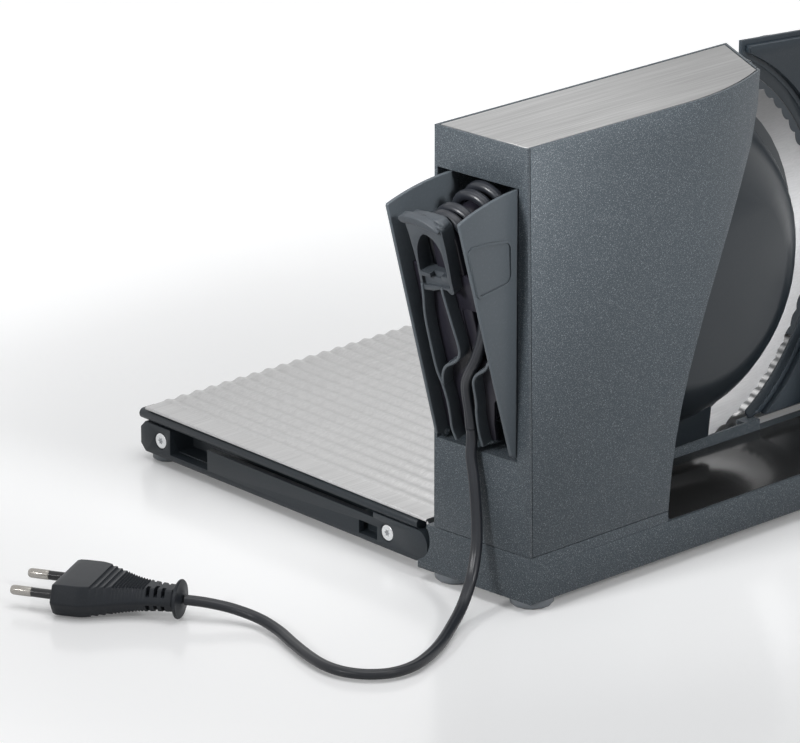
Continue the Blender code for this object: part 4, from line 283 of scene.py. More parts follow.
# %% [markdown]
# **Speckle** is the paint's metal flake and its orange-peel grain. A sharp noise picks the few flakes that catch the
# light, and a softer one gives the bump. The noise is turned off the axes, because a face that runs along its cells
# would show them as bands.

# %% Group: speckle
OFF_AXES, PEEL_SCALE = (0.6, 0.5, 0.3), 0.55
speckle, given, outlet = new_group("speckle", {"Grain": 0.0004, "Share": 0.5}, ("Fleck", "Height"))
turned = add_node(speckle, "VectorRotate", rotation_type="EULER_XYZ")
set_inputs(speckle, turned, {"Vector": given["Vector"], "Rotation": OFF_AXES})
per_metre = maths(speckle, "DIVIDE", 1.0, given["Grain"])
flake = noise(speckle, turned.outputs[0], per_metre, 1.0)
peel = noise(speckle, turned.outputs[0], maths(speckle, "MULTIPLY", per_metre, PEEL_SCALE))
threshold = maths(speckle, "SUBTRACT", 0.66, maths(speckle, "MULTIPLY", given["Share"], 0.24))
set_inputs(speckle, outlet, {"Fleck": ranged(speckle, flake, threshold, 0.78), "Height": peel})

# %% [markdown]
# **Brushing** is noise drawn out a hundred times along one axis: the long thin streaks of a belt-ground sheet.

# %% Group: brushing
FINE_LINES, BROAD_LINES, FINE_SHARE = (25, 3200, 3200), (6, 420, 420), 0.7
brushing, given, outlet = new_group("brushing", {"Lines": 1.0}, ("Streak", "Height"))
fine = noise(brushing, vectors(brushing, "MULTIPLY", given["Vector"], FINE_LINES)[0], given["Lines"], 3)
broad = noise(brushing, vectors(brushing, "MULTIPLY", given["Vector"], BROAD_LINES)[0], given["Lines"], 2)
both = maths(brushing, "ADD", maths(brushing, "MULTIPLY", fine, FINE_SHARE),
             maths(brushing, "MULTIPLY", broad, 1 - FINE_SHARE))
set_inputs(brushing, outlet, {"Streak": ranged(brushing, both, 0.35, 0.65), "Height": fine})

# %% [markdown]
# **Handling** keeps a big plain surface from looking computed: tone and gloss drift over a few centimetres, with some
# finer smudges.

# %% Group: handling
handling, given, outlet = new_group("handling", {"Amount": 0.1}, ("Tone", "Dull"))
drift, smudge = (maths(handling, "MULTIPLY", maths(handling, "SUBTRACT", noise(handling, given["Vector"], *kind), 0.5),
                       given["Amount"]) for kind in ((18.0, 3.0, 0.55), (90.0, 4.0, 0.6)))
set_inputs(handling, outlet, {"Tone": maths(handling, "ADD", 1.0, drift), "Dull": smudge})

# %% [markdown]
# One function makes a material from these groups. Colour, roughness and bump each come from the surface pattern.

# %% Material maker
def make_finish(name, dark, light, roughness, bump=0.1, amount=0.12, bump_depth=0.00005, metallic=0.0, lines=0.0,
                grain=0.0004, share=0.5, specular=0.5):
    """A Principled material: its colour runs between dark and light by flecks or streaks, with bump and smudges."""
    material = bpy.data.materials.new(name)
    material.use_nodes = True
    tree = material.node_tree
    where = {"Vector": add_node(tree, "TexCoord").outputs["Object"]}
    if lines:
        pattern = add_node(tree, "Group", {**where, "Lines": lines}, node_tree=brushing).outputs
    else:
        pattern = add_node(tree, "Group", {**where, "Grain": grain, "Share": share}, node_tree=speckle).outputs
    wear = add_node(tree, "Group", {**where, "Amount": amount}, node_tree=handling).outputs
    colour = mixed(tree, pattern[0], (*dark, 1), (*light, 1))
    relief = add_node(tree, "Bump", {"Strength": bump, "Distance": bump_depth, "Height": pattern["Height"]})
    set_inputs(tree, tree.nodes["Principled BSDF"], {
        "Base Color": vectors(tree, "SCALE", colour, wear["Tone"], "Scale")[0], "Metallic": metallic,
        "Roughness": maths(tree, "ADD", roughness, wear["Dull"], clamp=True), "Specular IOR Level": specular,
        "Normal": relief.outputs["Normal"]})
    return material


# %% [markdown]
# The colours are linear. The paint is a blue-grey with bright flakes, and the machine's plastics share its hue.

# %% Paint and mouldings
paint = make_finish("flaked_paint", (0.052, 0.064, 0.075), (0.235, 0.26, 0.28), 0.46, 0.35, 0.10, 0.00009,
                    metallic=0.2, grain=0.00037, share=0.48, specular=0.3)
# name, dark, light, roughness, bump, amount of handling, grain, specular
MOULDED = (
    ("slate_plastic", (0.074, 0.087, 0.099), (0.086, 0.100, 0.113), 0.42, 0.08, 0.10, 0.0009, 0.3),
    # painted shade: the web and core are the cheeks' plastic, coloured near black for the shade in the recess
    ("recess_shade_plastic", (0.016, 0.015, 0.022), (0.020, 0.019, 0.026), 0.36, 0.06, 0.10, 0.0009, 0.3),
    ("hook_plastic", (0.048, 0.056, 0.065), (0.057, 0.066, 0.076), 0.40, 0.08, 0.10, 0.0009, 0.3),
    ("frame_plastic", (0.026, 0.033, 0.040), (0.034, 0.042, 0.050), 0.38, 0.10, 0.12, 0.0007, 0.3),
    ("dome_plastic", (0.013, 0.018, 0.023), (0.017, 0.022, 0.027), 0.30, 0.04, 0.08, 0.0008, 0.35),
    ("tray_gloss", (0.018, 0.018, 0.018), (0.021, 0.021, 0.021), 0.16, 0.02, 0.06, 0.0009, 0.35),
    ("stop_coat", (0.028, 0.038, 0.048), (0.040, 0.051, 0.062), 0.32, 0.06, 0.08, 0.0005, 0.3),
    ("cord_jacket", (0.016, 0.018, 0.023), (0.020, 0.023, 0.028), 0.33, 0.05, 0.12, 0.0006, 0.35),
    ("plug_moulding", (0.018, 0.021, 0.026), (0.023, 0.027, 0.032), 0.44, 0.10, 0.12, 0.0006, 0.25),
    ("foot_rubber", (0.19, 0.21, 0.23), (0.22, 0.24, 0.26), 0.40, 0.08, 0.10, 0.0008, 0.5),
    ("gear_nylon", (0.66, 0.63, 0.54), (0.72, 0.69, 0.60), 0.48, 0.05, 0.12, 0.0004, 0.5),
    ("button_gloss", (0.012, 0.012, 0.015), (0.014, 0.014, 0.018), 0.14, 0.02, 0.12, 0.0004, 0.5))
(cassette_plastic, recess_shade_plastic, hook_plastic, frame_plastic, dome_plastic, tray_gloss, stop_coat, cord_rubber,
 plug_rubber, foot_rubber, gear_nylon, button_gloss) = (
    make_finish(*row[:-2], grain=row[-2], specular=row[-1]) for row in MOULDED)
print("finishes:", ", ".join([paint.name] + [row[0] for row in MOULDED]))

# %% [markdown]
# The **metals** are brushed more or less finely. The blade's top and the top plate's right end get painted shade. The
# world here is one even white, so their colour itself is made to fall off; on the blade this is also a painted
# reflection of darker surroundings.

# %% Metals
# name, dark, light, roughness, bump, amount of handling, bump depth, metallic, lines
METALS = (
    ("brushed_top", (0.33, 0.33, 0.33), (0.50, 0.50, 0.50), 0.36, 0.12, 0.06, 0.00003, 1.0, 1.0),
    ("satin_steel", (0.47, 0.47, 0.47), (0.58, 0.58, 0.58), 0.42, 0.05, 0.05, 0.00002, 0.85, 0.6),
    ("bright_steel", (0.60, 0.61, 0.62), (0.72, 0.73, 0.74), 0.24, 0.04, 0.05, 0.00001, 1.0, 0.8),
    ("blade_steel", (0.84, 0.84, 0.85), (0.95, 0.95, 0.96), 0.34, 0.05, 0.05, 0.00001, 0.35, 0.7),
    ("nickel", (0.30, 0.285, 0.265), (0.40, 0.385, 0.36), 0.20, 0.03, 0.08, 0.00001, 1.0, 0.8),
    ("bearing_brass", (0.55, 0.38, 0.14), (0.64, 0.46, 0.19), 0.30, 0.10, 0.12, 0.00005, 1.0, 0.8))
top_steel, carriage_steel, bright_steel, blade_steel, plug_nickel, bearing_brass = (
    make_finish(*row) for row in METALS)


def painted_shade_falloff(material, axis, start, end, share):
    """Paints shade into a finish: its colour falls off to a share between two coordinates of the frame."""
    tree = material.node_tree
    shader = tree.nodes["Principled BSDF"]
    where = add_node(tree, "SeparateXYZ", {0: add_node(tree, "TexCoord").outputs["Object"]}).outputs[axis]
    left = ranged(tree, where, start, end, 1.0, share, interpolation_type="SMOOTHSTEP")
    colour = shader.inputs["Base Color"].links[0].from_socket
    set_inputs(tree, shader, {"Base Color": vectors(tree, "SCALE", colour, left, "Scale")[0]})


# painted reflection and shade: the blade's colour falls to 17 % towards its top
painted_shade_falloff(blade_steel, "Z", 0.09, 0.165, 0.17)
# painted shade: the top plate's colour falls to 72 % towards its right end
painted_shade_falloff(top_steel, "X", 0.03, 0.13, 0.72)
print("metals:", ", ".join(row[0] for row in METALS))

# %% [markdown]
# The CAD solids keep their mesh and take a finish by the record's material slot, with a few exceptions by name.

# %% Finishes on the CAD nodes
BY_SLOT = {
    "housing_paint": paint, "dark_plastic": frame_plastic, "cassette_plastic": cassette_plastic,
    "dark_gloss": dome_plastic, "brushed_steel": top_steel, "bright_steel": bright_steel,
    "carriage_steel": carriage_steel, "foot_rubber": foot_rubber, "cord_rubber": cord_rubber,
    "gear_nylon": gear_nylon, "bearing_brass": bearing_brass}
BY_NODE = {
    "plug_body": plug_rubber, "plug_pin_1": plug_nickel, "plug_pin_2": plug_nickel, "power_button": button_gloss,
    "lock_button": button_gloss, "stop_face": stop_coat, "stop_body": stop_coat}


def give(piece, finish):
    """Puts one finish on every material slot of a piece, on its object and not on its mesh."""
    if not piece.material_slots:
        piece.data.materials.append(finish)
    for place in piece.material_slots:
        place.link = "OBJECT"
        place.material = finish
    return piece


SLOT_OF = {part["node"]: part["material_slot"] for part in frame["record"]["subparts"]}
for node_name, slot_name in SLOT_OF.items():
    give(frame["nodes"][node_name], BY_NODE.get(node_name, BY_SLOT[slot_name]))
print("finishes given to", len(SLOT_OF), "solids")

# %% [markdown]
# ## Bench tools
# Every new piece is drawn as at a bench. Its sizes are given from the near left corner of the base, on the table, and
# SHIFT takes them to the frame. Blender's operators work on what is selected, so each tool first clears the selection
# and then picks its own piece.

# %% Places and selection
SHIFT = Vector((-0.0105, -0.0105, 0.0))
UP, ALONG, ACROSS = Vector((0, 0, 1)), Vector((1, 0, 0)), Vector((0, 1, 0))
MM = 0.001


def placed(x, y, z):
    """A point of the frame from millimetres along, across and up from the base's near left corner."""
    return Vector((x, y, z)) * MM + SHIFT


def drop_all():
    """Nothing selected and nobody in edit mode, so that the next operator meets only what is meant."""
    if bpy.context.object and bpy.context.object.mode != "OBJECT":
        bpy.ops.object.mode_set(mode="OBJECT")
    bpy.ops.object.select_all(action="DESELECT")


def only(piece):
    drop_all()
    piece.select_set(True)
    bpy.context.view_layer.objects.active = piece
    return piece


def edit_all():
    bpy.ops.object.mode_set(mode="EDIT")
    bpy.ops.mesh.select_all(action="SELECT")


print("the base's corner in the frame, mm:", [round(c / MM, 2) for c in SHIFT])

# %% [markdown]
# A solid starts as a line, as one would draw it by hand: a vertex is pulled along an outline, and the outline is
# filled and pushed through. At the end doubles are merged and all faces are turned outwards.

# %% Draw and close an outline
MERGE, MERGE_WIDE = 0.000001, 0.000002


def push(way):
    """Extrudes what is selected by a vector."""
    bpy.ops.mesh.extrude_region_move(TRANSFORM_OT_translate={"value": way})


def drawn(name, points, filled=True):
    """A new piece, open in edit mode: one vertex is pulled along the points, and the line is closed and filled."""
    drop_all()
    bpy.ops.mesh.primitive_plane_add(size=0.01, location=(0, 0, 0))
    piece = bpy.context.object
    piece.name = piece.data.name = name
    edit_all()
    bpy.ops.mesh.merge(type="CENTER")
    bpy.ops.transform.translate(value=points[0])
    for here, there in zip(points, points[1:]):
        push(there - here)
    if filled:
        work = bmesh.from_edit_mesh(piece.data)
        line = list(work.verts)
        for vertex in line:
            vertex.select_set(vertex in (line[0], line[-1]))
        work.select_flush(True)
        bpy.ops.mesh.edge_face_add()
    bpy.ops.mesh.select_all(action="SELECT")
    if filled:
        bpy.ops.mesh.edge_face_add()


def close_edit(merge=MERGE):
    """Merges doubles, points every face outwards and leaves edit mode."""
    bpy.ops.mesh.select_all(action="SELECT")
    bpy.ops.mesh.remove_doubles(threshold=merge)
    bpy.ops.mesh.normals_make_consistent(inside=False)
    bpy.ops.object.mode_set(mode="OBJECT")
    print("drawn:", bpy.context.object.name)
    return bpy.context.object


def block(name, points, way):
    """An outline, filled and pushed into a closed body."""
    drawn(name, points)
    push(way)
    return close_edit()


# %% [markdown]
# Edges are rounded by a **bevel** with an angle limit, because a real edge catches a line of light, and openings are
# cut by a **boolean**. Both are applied at once, so that the next one meets the finished mesh.

# %% Modifiers
def modify(piece, kind, **settings):
    """Adds a modifier with its settings and applies it."""
    only(piece)
    modifier = piece.modifiers.new(kind.lower(), kind)
    for name, value in settings.items():
        setattr(modifier, name, value)
    bpy.ops.object.modifier_apply(modifier=modifier.name)
    return piece


def smooth(piece, angle=32):
    only(piece)
    bpy.ops.object.shade_smooth_by_angle(angle=math.radians(angle))
    return piece


def rounded(piece, width, segments=2, angle=35, shade=32):
    """Rounds each edge sharper than the angle by some millimetres, so that it catches a line of light."""
    modify(piece, "BEVEL", width=width * MM, segments=segments, limit_method="ANGLE",
           angle_limit=math.radians(angle), harden_normals=False, miter_outer="MITER_ARC")
    return smooth(piece, shade)


def carve(piece, *tools, operation="DIFFERENCE"):
    """A boolean with each tool in turn; the tools are used up."""
    for tool in tools:
        modify(piece, "BOOLEAN", operation=operation, object=tool, solver="EXACT")
        drop_all()
        bpy.data.objects.remove(tool, do_unlink=True)
    return piece


# %% [markdown]
# A finished piece gets its material and its body in one call, and the solids that it stands for are hidden.

# %% Hand a piece over
def settle(piece):
    """The object goes to the origin, unturned; its place stays in its mesh."""
    only(piece)
    bpy.ops.object.transform_apply(location=True, rotation=True, scale=True)
    return piece


def fit(piece, finish, body, *nodes, slot=None):
    """Gives a finished piece its material and its body, and hides the solids that it stands for; the slot argument is
    not used.
    """
    give(settle(piece), finish)
    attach(piece, body)
    if nodes:
        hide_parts(*nodes)
    print(f"{piece.name}: {len(piece.data.polygons)} faces on {body}")
    return piece


# %% [markdown]
# ## Softened castings
# The plain parts are mouldings with small radii, but their solids have razor-sharp edges without the thin line of
# light. So a copy is merged, its flat triangles are dissolved where no opening would be closed by that, and a bevel
# with an angle limit rounds what is sharp. The radii are in millimetres.

# %% A copy with rounded edges
OPEN_SHELLS = ("tower_housing", "base_casting", "face_panel", "guide_housing")
FLAT_ANGLE = math.radians(0.6)


def softened(node, radius, angle=35):
    """A merged copy of a CAD node with rounded edges, which stands for it. A face round an opening stays in parts."""
    source = frame["nodes"][node]
    drop_all()
    copy = source.copy()
    copy.data = source.data.copy()
    copy.name = copy.data.name = node + "_soft"
    bpy.context.scene.collection.objects.link(copy)
    home = body_of(source)[0]
    copy.parent = None
    for key in list(copy.keys()):
        del copy[key]
    only(copy)
    edit_all()
    bpy.ops.mesh.remove_doubles(threshold=MERGE_WIDE)
    if node not in OPEN_SHELLS:
        bpy.ops.mesh.dissolve_limited(angle_limit=FLAT_ANGLE)
    bpy.ops.object.mode_set(mode="OBJECT")
    return fit(rounded(copy, radius, angle=angle), source.material_slots[0].material, home, node)


EDGE_RADII = {
    "base_casting": 0.35, "tower_housing": 0.25, "face_panel": 0.25, "guide_housing": 0.5, "gear_cover": 0.5,
    "stop_face": 0.35, "stop_body": 0.3, "carriage_wall": 0.7, "support_arm_left": 0.35, "support_arm_right": 0.35,
    "slide_block_near": 0.4, "slide_block_far": 0.4, "edge_profile_left": 0.25, "edge_profile_right": 0.25,
    "stop_carrier": 0.4, "top_plate": 0.12}
soft = {node_name: softened(node_name, radius) for node_name, radius in EDGE_RADII.items()}

# %% [markdown]
# The photograph shows a band of the blade along the lower right of its **cover**, so the cover is flatter there: its
# shoulder is pulled towards the shaft with proportional editing, and the dome follows softly.

# %% Flatter side of the cover
BLADE_CENTRE = placed(127.75, 0, 101.37)
PULL, PULL_REACH = Vector((-6.5, 0, 3.5)) * MM, 46 * MM
SHOULDER_RADIUS, SHOULDER_FROM, SHOULDER_TO, SHOULDER_BACK = 56, -58, -4, SHIFT.y + 49 * MM
cover = only(soft["gear_cover"])
for point in cover.data.vertices:
    spoke = (point.co - BLADE_CENTRE) / MM
    angle = math.degrees(math.atan2(spoke.z, spoke.x))
    point.select = (math.hypot(spoke.x, spoke.z) > SHOULDER_RADIUS and SHOULDER_FROM < angle < SHOULDER_TO
                    and point.co.y < SHOULDER_BACK)
bpy.ops.object.mode_set(mode="EDIT")
bpy.ops.transform.translate(value=PULL, use_proportional_edit=True, proportional_edit_falloff="SMOOTH",
                            proportional_size=PULL_REACH)
bpy.ops.object.mode_set(mode="OBJECT")
print("cover reaches", round(max(point.co.x - BLADE_CENTRE.x for point in cover.data.vertices) / MM, 1), "mm right")

# %% [markdown]
# ## The cord compartment
# At the cord end a narrow cassette tips out of the tower on a pin at its foot. Its places are given as (along,
# height, depth): along the end face, up the cassette's leaning front edge, and inwards from that edge. So every part
# of it can be drawn as if it stood upright.

# %% The cassette's own frame of reference
END_SKEW, TILT = math.radians(5), math.radians(16.7)
END_OUT = Vector((-math.cos(END_SKEW), -math.sin(END_SKEW), 0))
END_ALONG = Vector((-math.sin(END_SKEW), math.cos(END_SKEW), 0))
CASSETTE_UP = END_OUT * math.sin(TILT) + UP * math.cos(TILT)
CASSETTE_IN = END_OUT * -math.cos(TILT) + UP * math.sin(TILT)
CASSETTE_CORNER = END_OUT * 0.0018 + UP * 0.0639 + SHIFT
NEAR_SIDE, FAR_SIDE = 8.3 / math.cos(END_SKEW), 48.9 / math.cos(END_SKEW)
CHEEK, CHEEK_HEIGHT, CHEEK_DEPTH, PIN_DEPTH, FAR_LEAN = 1.6, 109.8, 36.0, 4.8, 2.0


def at(along, height, depth):
    """A point of the cassette, in millimetres of its own frame."""
    return CASSETTE_CORNER + (END_ALONG * along + CASSETTE_UP * height + CASSETTE_IN * depth) * MM


print("the cassette leans out by", round(math.degrees(TILT), 1), "degrees")

# %% [markdown]
# Lines that were read from the photograph become smooth in two ways. A **Catmull-Rom** curve runs through every
# point, which suits the lead and the ribs. An outline of straight sides gets each corner rounded by its own radius.

# %% Curves and outlines
def curve_through(points, steps, closed=False):
    """A Catmull-Rom line through points, read at even steps between neighbours."""
    points = [Vector(point) for point in points]
    count = len(points)
    spans = count if closed else count - 1
    line = []
    for i in range(spans):
        near = (i + k for k in (-1, 0, 1, 2))
        a, b, c, d = (points[k % count if closed else min(max(k, 0), count - 1)] for k in near)
        for k in range(steps):
            t = k / steps
            line.append(0.5 * (2 * b + (c - a) * t + (2 * a - 5 * b + 4 * c - d) * t * t
                               + (3 * b - a - 3 * c + d) * t ** 3))
    return line if closed else line + [points[-1]]


def eased(share):
    """A share that sets off and arrives softly."""
    share = min(max(share, 0), 1)
    return share * share * (3 - 2 * share)


def way_on(line, i):
    return (line[min(i + 1, len(line) - 1)] - line[max(i - 1, 0)]).normalized()


def rounded_outline(points, radii, steps=4):
    """A polygon of (a, b) pairs with its corners rounded, each by its own radius."""
    count = len(points)
    result = []
    for i, (point, radius) in enumerate(zip(points, radii)):
        here, before, after = Vector(point), Vector(points[i - 1]), Vector(points[(i + 1) % count])
        if not radius:
            result.append(tuple(here))
            continue
        to_before, to_after = (before - here).normalized(), (after - here).normalized()
        half = to_before.angle(to_after) / 2
        back = radius / math.tan(half)
        first, last = here + to_before * back, here + to_after * back
        centre = here + (to_before + to_after).normalized() * (radius / math.sin(half))
        for k in range(steps + 1):
            spoke = first.lerp(last, k / steps) - centre
            result.append(tuple(centre + spoke.normalized() * radius))
    return result


def slab_of(name, outline, front, back, radii=None):
    """An (along, height) outline, perhaps with rounded corners, filled at one depth and pushed to another."""
    outline = rounded_outline(outline, radii) if radii else outline
    return block(name, [at(u, h, front) for u, h in outline], CASSETTE_IN * (back - front) * MM)


# %% [markdown]
# The two **cheeks** are thin plates whose top runs in an arc about the hinge pin, so that they slide into the tower
# without scraping. The near one stands square; the far one follows the compartment's wall and leans in a little.

# %% Cheeks
def cheek_outline():
    """(height, depth) points round a cheek."""
    start, stop = math.asin(-PIN_DEPTH / CHEEK_HEIGHT), math.asin((CHEEK_DEPTH - PIN_DEPTH) / CHEEK_HEIGHT)
    top = [(CHEEK_HEIGHT * math.cos(angle), PIN_DEPTH + CHEEK_HEIGHT * math.sin(angle))
           for angle in (start + (stop - start) * i / 12 for i in range(13))]
    corner, front = 0.9, top[0]
    top[:1] = [(front[0] - corner, front[1]), (top[1][0] * 0.02 + front[0] * 0.98, corner / 2)]
    toe = 1.9
    heel = [(-toe * math.sin(math.radians(t)), PIN_DEPTH + toe * math.cos(math.radians(t))) for t in range(0, 181, 20)]
    return [*top, (toe, CHEEK_DEPTH), (toe / 2, PIN_DEPTH + 2 * toe), *heel, (toe, 0)]


def far_face(height, depth):
    return FAR_SIDE - CHEEK - depth * math.tan(END_SKEW) - FAR_LEAN * max(height, 0) / CHEEK_HEIGHT


def cheek(name, face):
    outline = [at(face(h, d), h, d) for h, d in cheek_outline()]
    return rounded(block(name, outline, END_ALONG * CHEEK * MM), 0.42, 3)


near_cheek = cheek("cheek_near", lambda h, d: NEAR_SIDE)
far_cheek = cheek("cheek_far", far_face)

# %% [markdown]
# The near cheek carries a **raised pad** where a thumb pushes the cassette home. The outline is filled and pushed out
# in small steps with an inset between them, which makes its soft rim and the groove inside it.

# %% Thumb pad
PAD = [(98.6, 0.7), (94.6, 12.0), (88.6, 25.0), (71.2, 20.4), (75.0, 0.7)]
pad_line = rounded_outline(PAD, (2.6, 9, 4.2, 4.2, 2.6), steps=4)
drawn("thumb_pad", [at(NEAR_SIDE + 0.2, h, d) for h, d in pad_line])
for rise, inwards in ((0.50, 0.10), (0.26, 0.24), (0.06, 0.75), (-0.62, 0.22), (0.04, 0.35)):
    push(END_ALONG * -rise * MM)
    bpy.ops.mesh.inset(thickness=inwards * MM)
thumb_pad = smooth(close_edit(), 70)

# %% [markdown]
# Between the cheeks stands a **web**, with the racetrack core that the cord is wound on behind it. Both are coloured
# near black as painted shade of the deep recess. A window in the web lets the lead come forward.

# %% Web and core
WEB_FRONT, WEB_BACK = 6.0, 7.6
CORE_U, CORE_LOW, CORE_HIGH, CORE_RADIUS = 26.0, 15.8, 94.0, 6.8


def racetrack(radius, steps=12):
    ends = [(CORE_HIGH, 0), (CORE_LOW, 180)]
    return [(CORE_U + radius * math.cos(math.radians(start + 180 * k / steps)),
             middle + radius * math.sin(math.radians(start + 180 * k / steps)))
            for middle, start in ends for k in range(steps + 1)]


web_edge = [(NEAR_SIDE + CHEEK - 0.4, 26), (17.5, 22), (20.5, 10), (21.5, 2), (far_face(2, 6) + 0.4, 2),
            (far_face(80, 6) + 0.4, 80), (NEAR_SIDE + CHEEK - 0.4, 80)]
web = slab_of("cassette_web", web_edge, WEB_FRONT, WEB_BACK, (0, 3, 4, 0, 0, 0, 0))
carve(web, slab_of("window_tool", [(12.5, 40), (24, 42.9), (24, 64), (12.5, 64)], WEB_FRONT - 1, WEB_BACK + 1,
                   (1.5,) * 4))
rounded(web, 0.25)
core = rounded(slab_of("winding_core", racetrack(CORE_RADIUS), WEB_FRONT + 0.5, 35), 0.6, 3)

# %% [markdown]
# ** Guide ribs** keep the lead in its way from the window to the sill. Each is a thin wall along a given line, pushed back to the web, with a rounded edge that catches a line of light.

# %% Guide ribs
RIB = 1.35
FAR_RIB = ((37.2, 75.3), (37.9, 69.5), (39.6, 59.5), (40.1, 46), (40.0, 34), (38.7, 27.5), (38.1, 19.6), (38.5, 12.6),
           (39.1, 6.4), (38.0, 1.0))
MIDDLE_RIB = ((27.0, 75.6), (26.6, 68.7), (25.8, 59.4), (25.0, 50.3), (25.2, 45.8), (27.1, 42.4), (30.2, 39.8),
              (34.6, 37.0), (37.3, 32.6), (38.6, 27.0))
NEAR_RIB = ((10.6, 45.0), (13.2, 41.2), (18.6, 37.2), (21.4, 32.9), (22.1, 26.0), (22.6, 22.0), (23.8, 17.0),
            (24.7, 8.7), (24.4, 1.6))


def ribbon(points, thick, steps=4):
    """The outline of a wall of some thickness along a line."""
    line = curve_through(points, steps)
    left, right = [], []
    for i, here in enumerate(line):
        run = way_on(line, i)
        side = Vector((-run.y, run.x)) * (thick / 2)
        left.append(here + side)
        right.append(here - side)
    return left + right[::-1]


ribs = []
for name, line, proud in (("far", FAR_RIB, 0.3), ("middle", MIDDLE_RIB, 0.4), ("near", NEAR_RIB, 0.6)):
    rib = slab_of("guide_rib_" + name, ribbon(line, RIB), proud, WEB_FRONT + 0.8)
    ribs.append(rounded(rib, 0.5, 3, 50, 40))

# %% [markdown]
# The **hook block** holds the end of the lead when it is put away: a wishbone arch in front, a shadowed eye, a ledge
# at its foot and a recessed band. The hollows are cut before one bevel rounds all of it.

# %% Hook block
BLOCK = [(39.3, 104.6), (38.4, 97.8), (37.9, 91), (37.6, 85), (37.9, 78), (38.1, 72.2), (31.5, 73.2), (27.6, 74.8),
         (24.4, 75.2), (20.6, 72.0), (20.7, 80), (20.2, 88), (19.9, 94), (20.0, 104.8)]
hook = slab_of("hook_block", BLOCK, 0.9, 7.4, (2.0, 6, 0, 0, 0, 1.8, 4, 0, 1.2, 1.4, 0, 0, 0, 3.0))
EYE_LINE = [(30.6, 99.4), (33.2, 96.6), (35.2, 92.8), (36.2, 88.0), (36.5, 84.2), (36.4, 81.0), (31.6, 81.0),
            (26.0, 81.4), (22.6, 81.5), (22.4, 84.6), (22.4, 88.4), (22.8, 92.6), (24.3, 96.2), (27.1, 98.8)]
eye = slab_of("eye_tool", curve_through(EYE_LINE, 2, closed=True), -1, 9)
band = slab_of("band_tool", [(36.7, 74.6), (36.6, 79.0), (22.2, 79.2), (22.3, 76.2), (28.0, 75.9)], -1, 2.3,
               (0.8, 0.3, 0.3, 0.8, 2))
slit = slab_of("ledge_gap_tool", [(31.8, 78.9), (31.6, 81.3), (26.0, 81.6), (25.6, 79.0)], -1, 3.4)
carve(hook, eye, band, slit)
rounded(hook, 0.45, 3, 40, 40)

# %% [markdown]
# Over the arch sits a **finger pull**: a curved brim a little proud of the cassette's front, with a bevel almost as
# wide as the brim is thick.

# %% Finger pull
BRIM = [(41.0, 104.6), (39.6, 106.6), (36.0, 107.3), (32.0, 107.3), (28.4, 106.9), (25.2, 106.0), (22.0, 104.2),
        (20.6, 102.6), (22.6, 102.4), (26.2, 102.9), (29.8, 103.4), (33.0, 103.9), (36.0, 104.0), (38.8, 103.3)]
brim = rounded(slab_of("finger_pull", curve_through(BRIM, 2, closed=True), -0.7, 3.2), 0.85, 4, 45, 60)
shoulder = slab_of("hook_shoulder", [(38.5, 103.2), (38.0, 105.6), (30.0, 106.4), (20.2, 106.4), (20.2, 100)],
                   2.4, 7.4, (1, 1.5, 3, 3.5, 0))
rounded(shoulder, 1.1, 4, 45, 50)

# %% [markdown]
# A small **shelf** at the foot carries the gland that the lead enters by. Then all of the cassette gets its finishes.

# %% Gland shelf and finishes
JACKET_HALF, JACKET_GAP = 2.4, 0.4
WOUND_RADIUS = CORE_RADIUS + JACKET_GAP + JACKET_HALF
LEAD_U = WOUND_RADIUS + CORE_U + 2 * JACKET_HALF + JACKET_GAP
SHELF_NEAR, SHELF_FAR = LEAD_U - 3.7, far_face(6, 29.6) + 0.8
shelf = rounded(slab_of("gland_shelf", [(SHELF_NEAR, 6), (SHELF_FAR, 6), (SHELF_FAR, 8), (SHELF_NEAR, 8)],
                        29.3, 35.7), 0.3)

# the web and core take the near-black painted shade of the recess
for finish, pieces in ((cassette_plastic, (near_cheek, far_cheek, thumb_pad, shelf, *ribs)),
                       (hook_plastic, (hook, brim, shoulder)), (recess_shade_plastic, (web, core))):
    for piece in pieces:
        fit(piece, finish, "cassette", "cassette")

# %% [markdown]
# ## The mains lead
# The lead is a flat twin flex, about as stiff as a bootlace. Its line comes through the cassette's window, over the
# sill, drops to the table and lies in one open loop to the plug. The jacket's flat side is turned out of the cassette
# at first and up on the table, as a flat flex lies by itself.

# %% The lead's line
CORD_WIDE, CORD_HIGH = 0.0048, 0.0038
TURN_DEPTHS = (33.0, 26.2, 15.8, 10.2)
LEAD_OUT = ((16.4, 66.5, 10.2), (16.4, 61.0, 9.8), (16.5, 56.0, 8.4), (16.9, 51.0, 6.2), (18.2, 46.0, 4.2),
            (20.7, 41.0, 3.2), (24.3, 35.8, 2.9), (27.5, 30.0, 2.9), (28.6, 23.5, 2.8), (28.7, 16.5, 2.3),
            (28.8, 9.5, 1.2))
CORD_ROUTE = ((-5.8, 28.4, 61.0), (-6.2, 26.2, 51.7), (-6.6, 24.5, 39.7), (-8.0, 22.5, 28.6), (-10.8, 20.8, 20.2),
              (-15.6, 18.4, 12.6), (-24.0, 14.3, 6.0), (-36.7, 7.1, 2.9), (-50.1, -1.3, 2.6), (-62.7, -7.3, 2.6),
              (-72.6, -10.0, 2.6), (-82.0, -9.2, 2.6), (-89.6, -4.4, 2.6), (-94.6, 3.2, 2.6), (-96.3, 12.4, 2.6),
              (-94.8, 23.7, 2.6), (-91.1, 37.4, 2.6), (-86.9, 51.6, 2.9), (-86.3, 63.6, 4.0), (-90.2, 74.4, 5.9),
              (-96.2, 83.0, 7.5))
PLUG_HEADING = math.radians(119)
PLUG_AXIS = Vector((math.cos(PLUG_HEADING), math.sin(PLUG_HEADING), 0))
PLUG_SIDE = Vector((-math.sin(PLUG_HEADING), math.cos(PLUG_HEADING), 0))
PLUG_ROOT = Vector((-0.1264, 0.1349, 0.0071)) + SHIFT

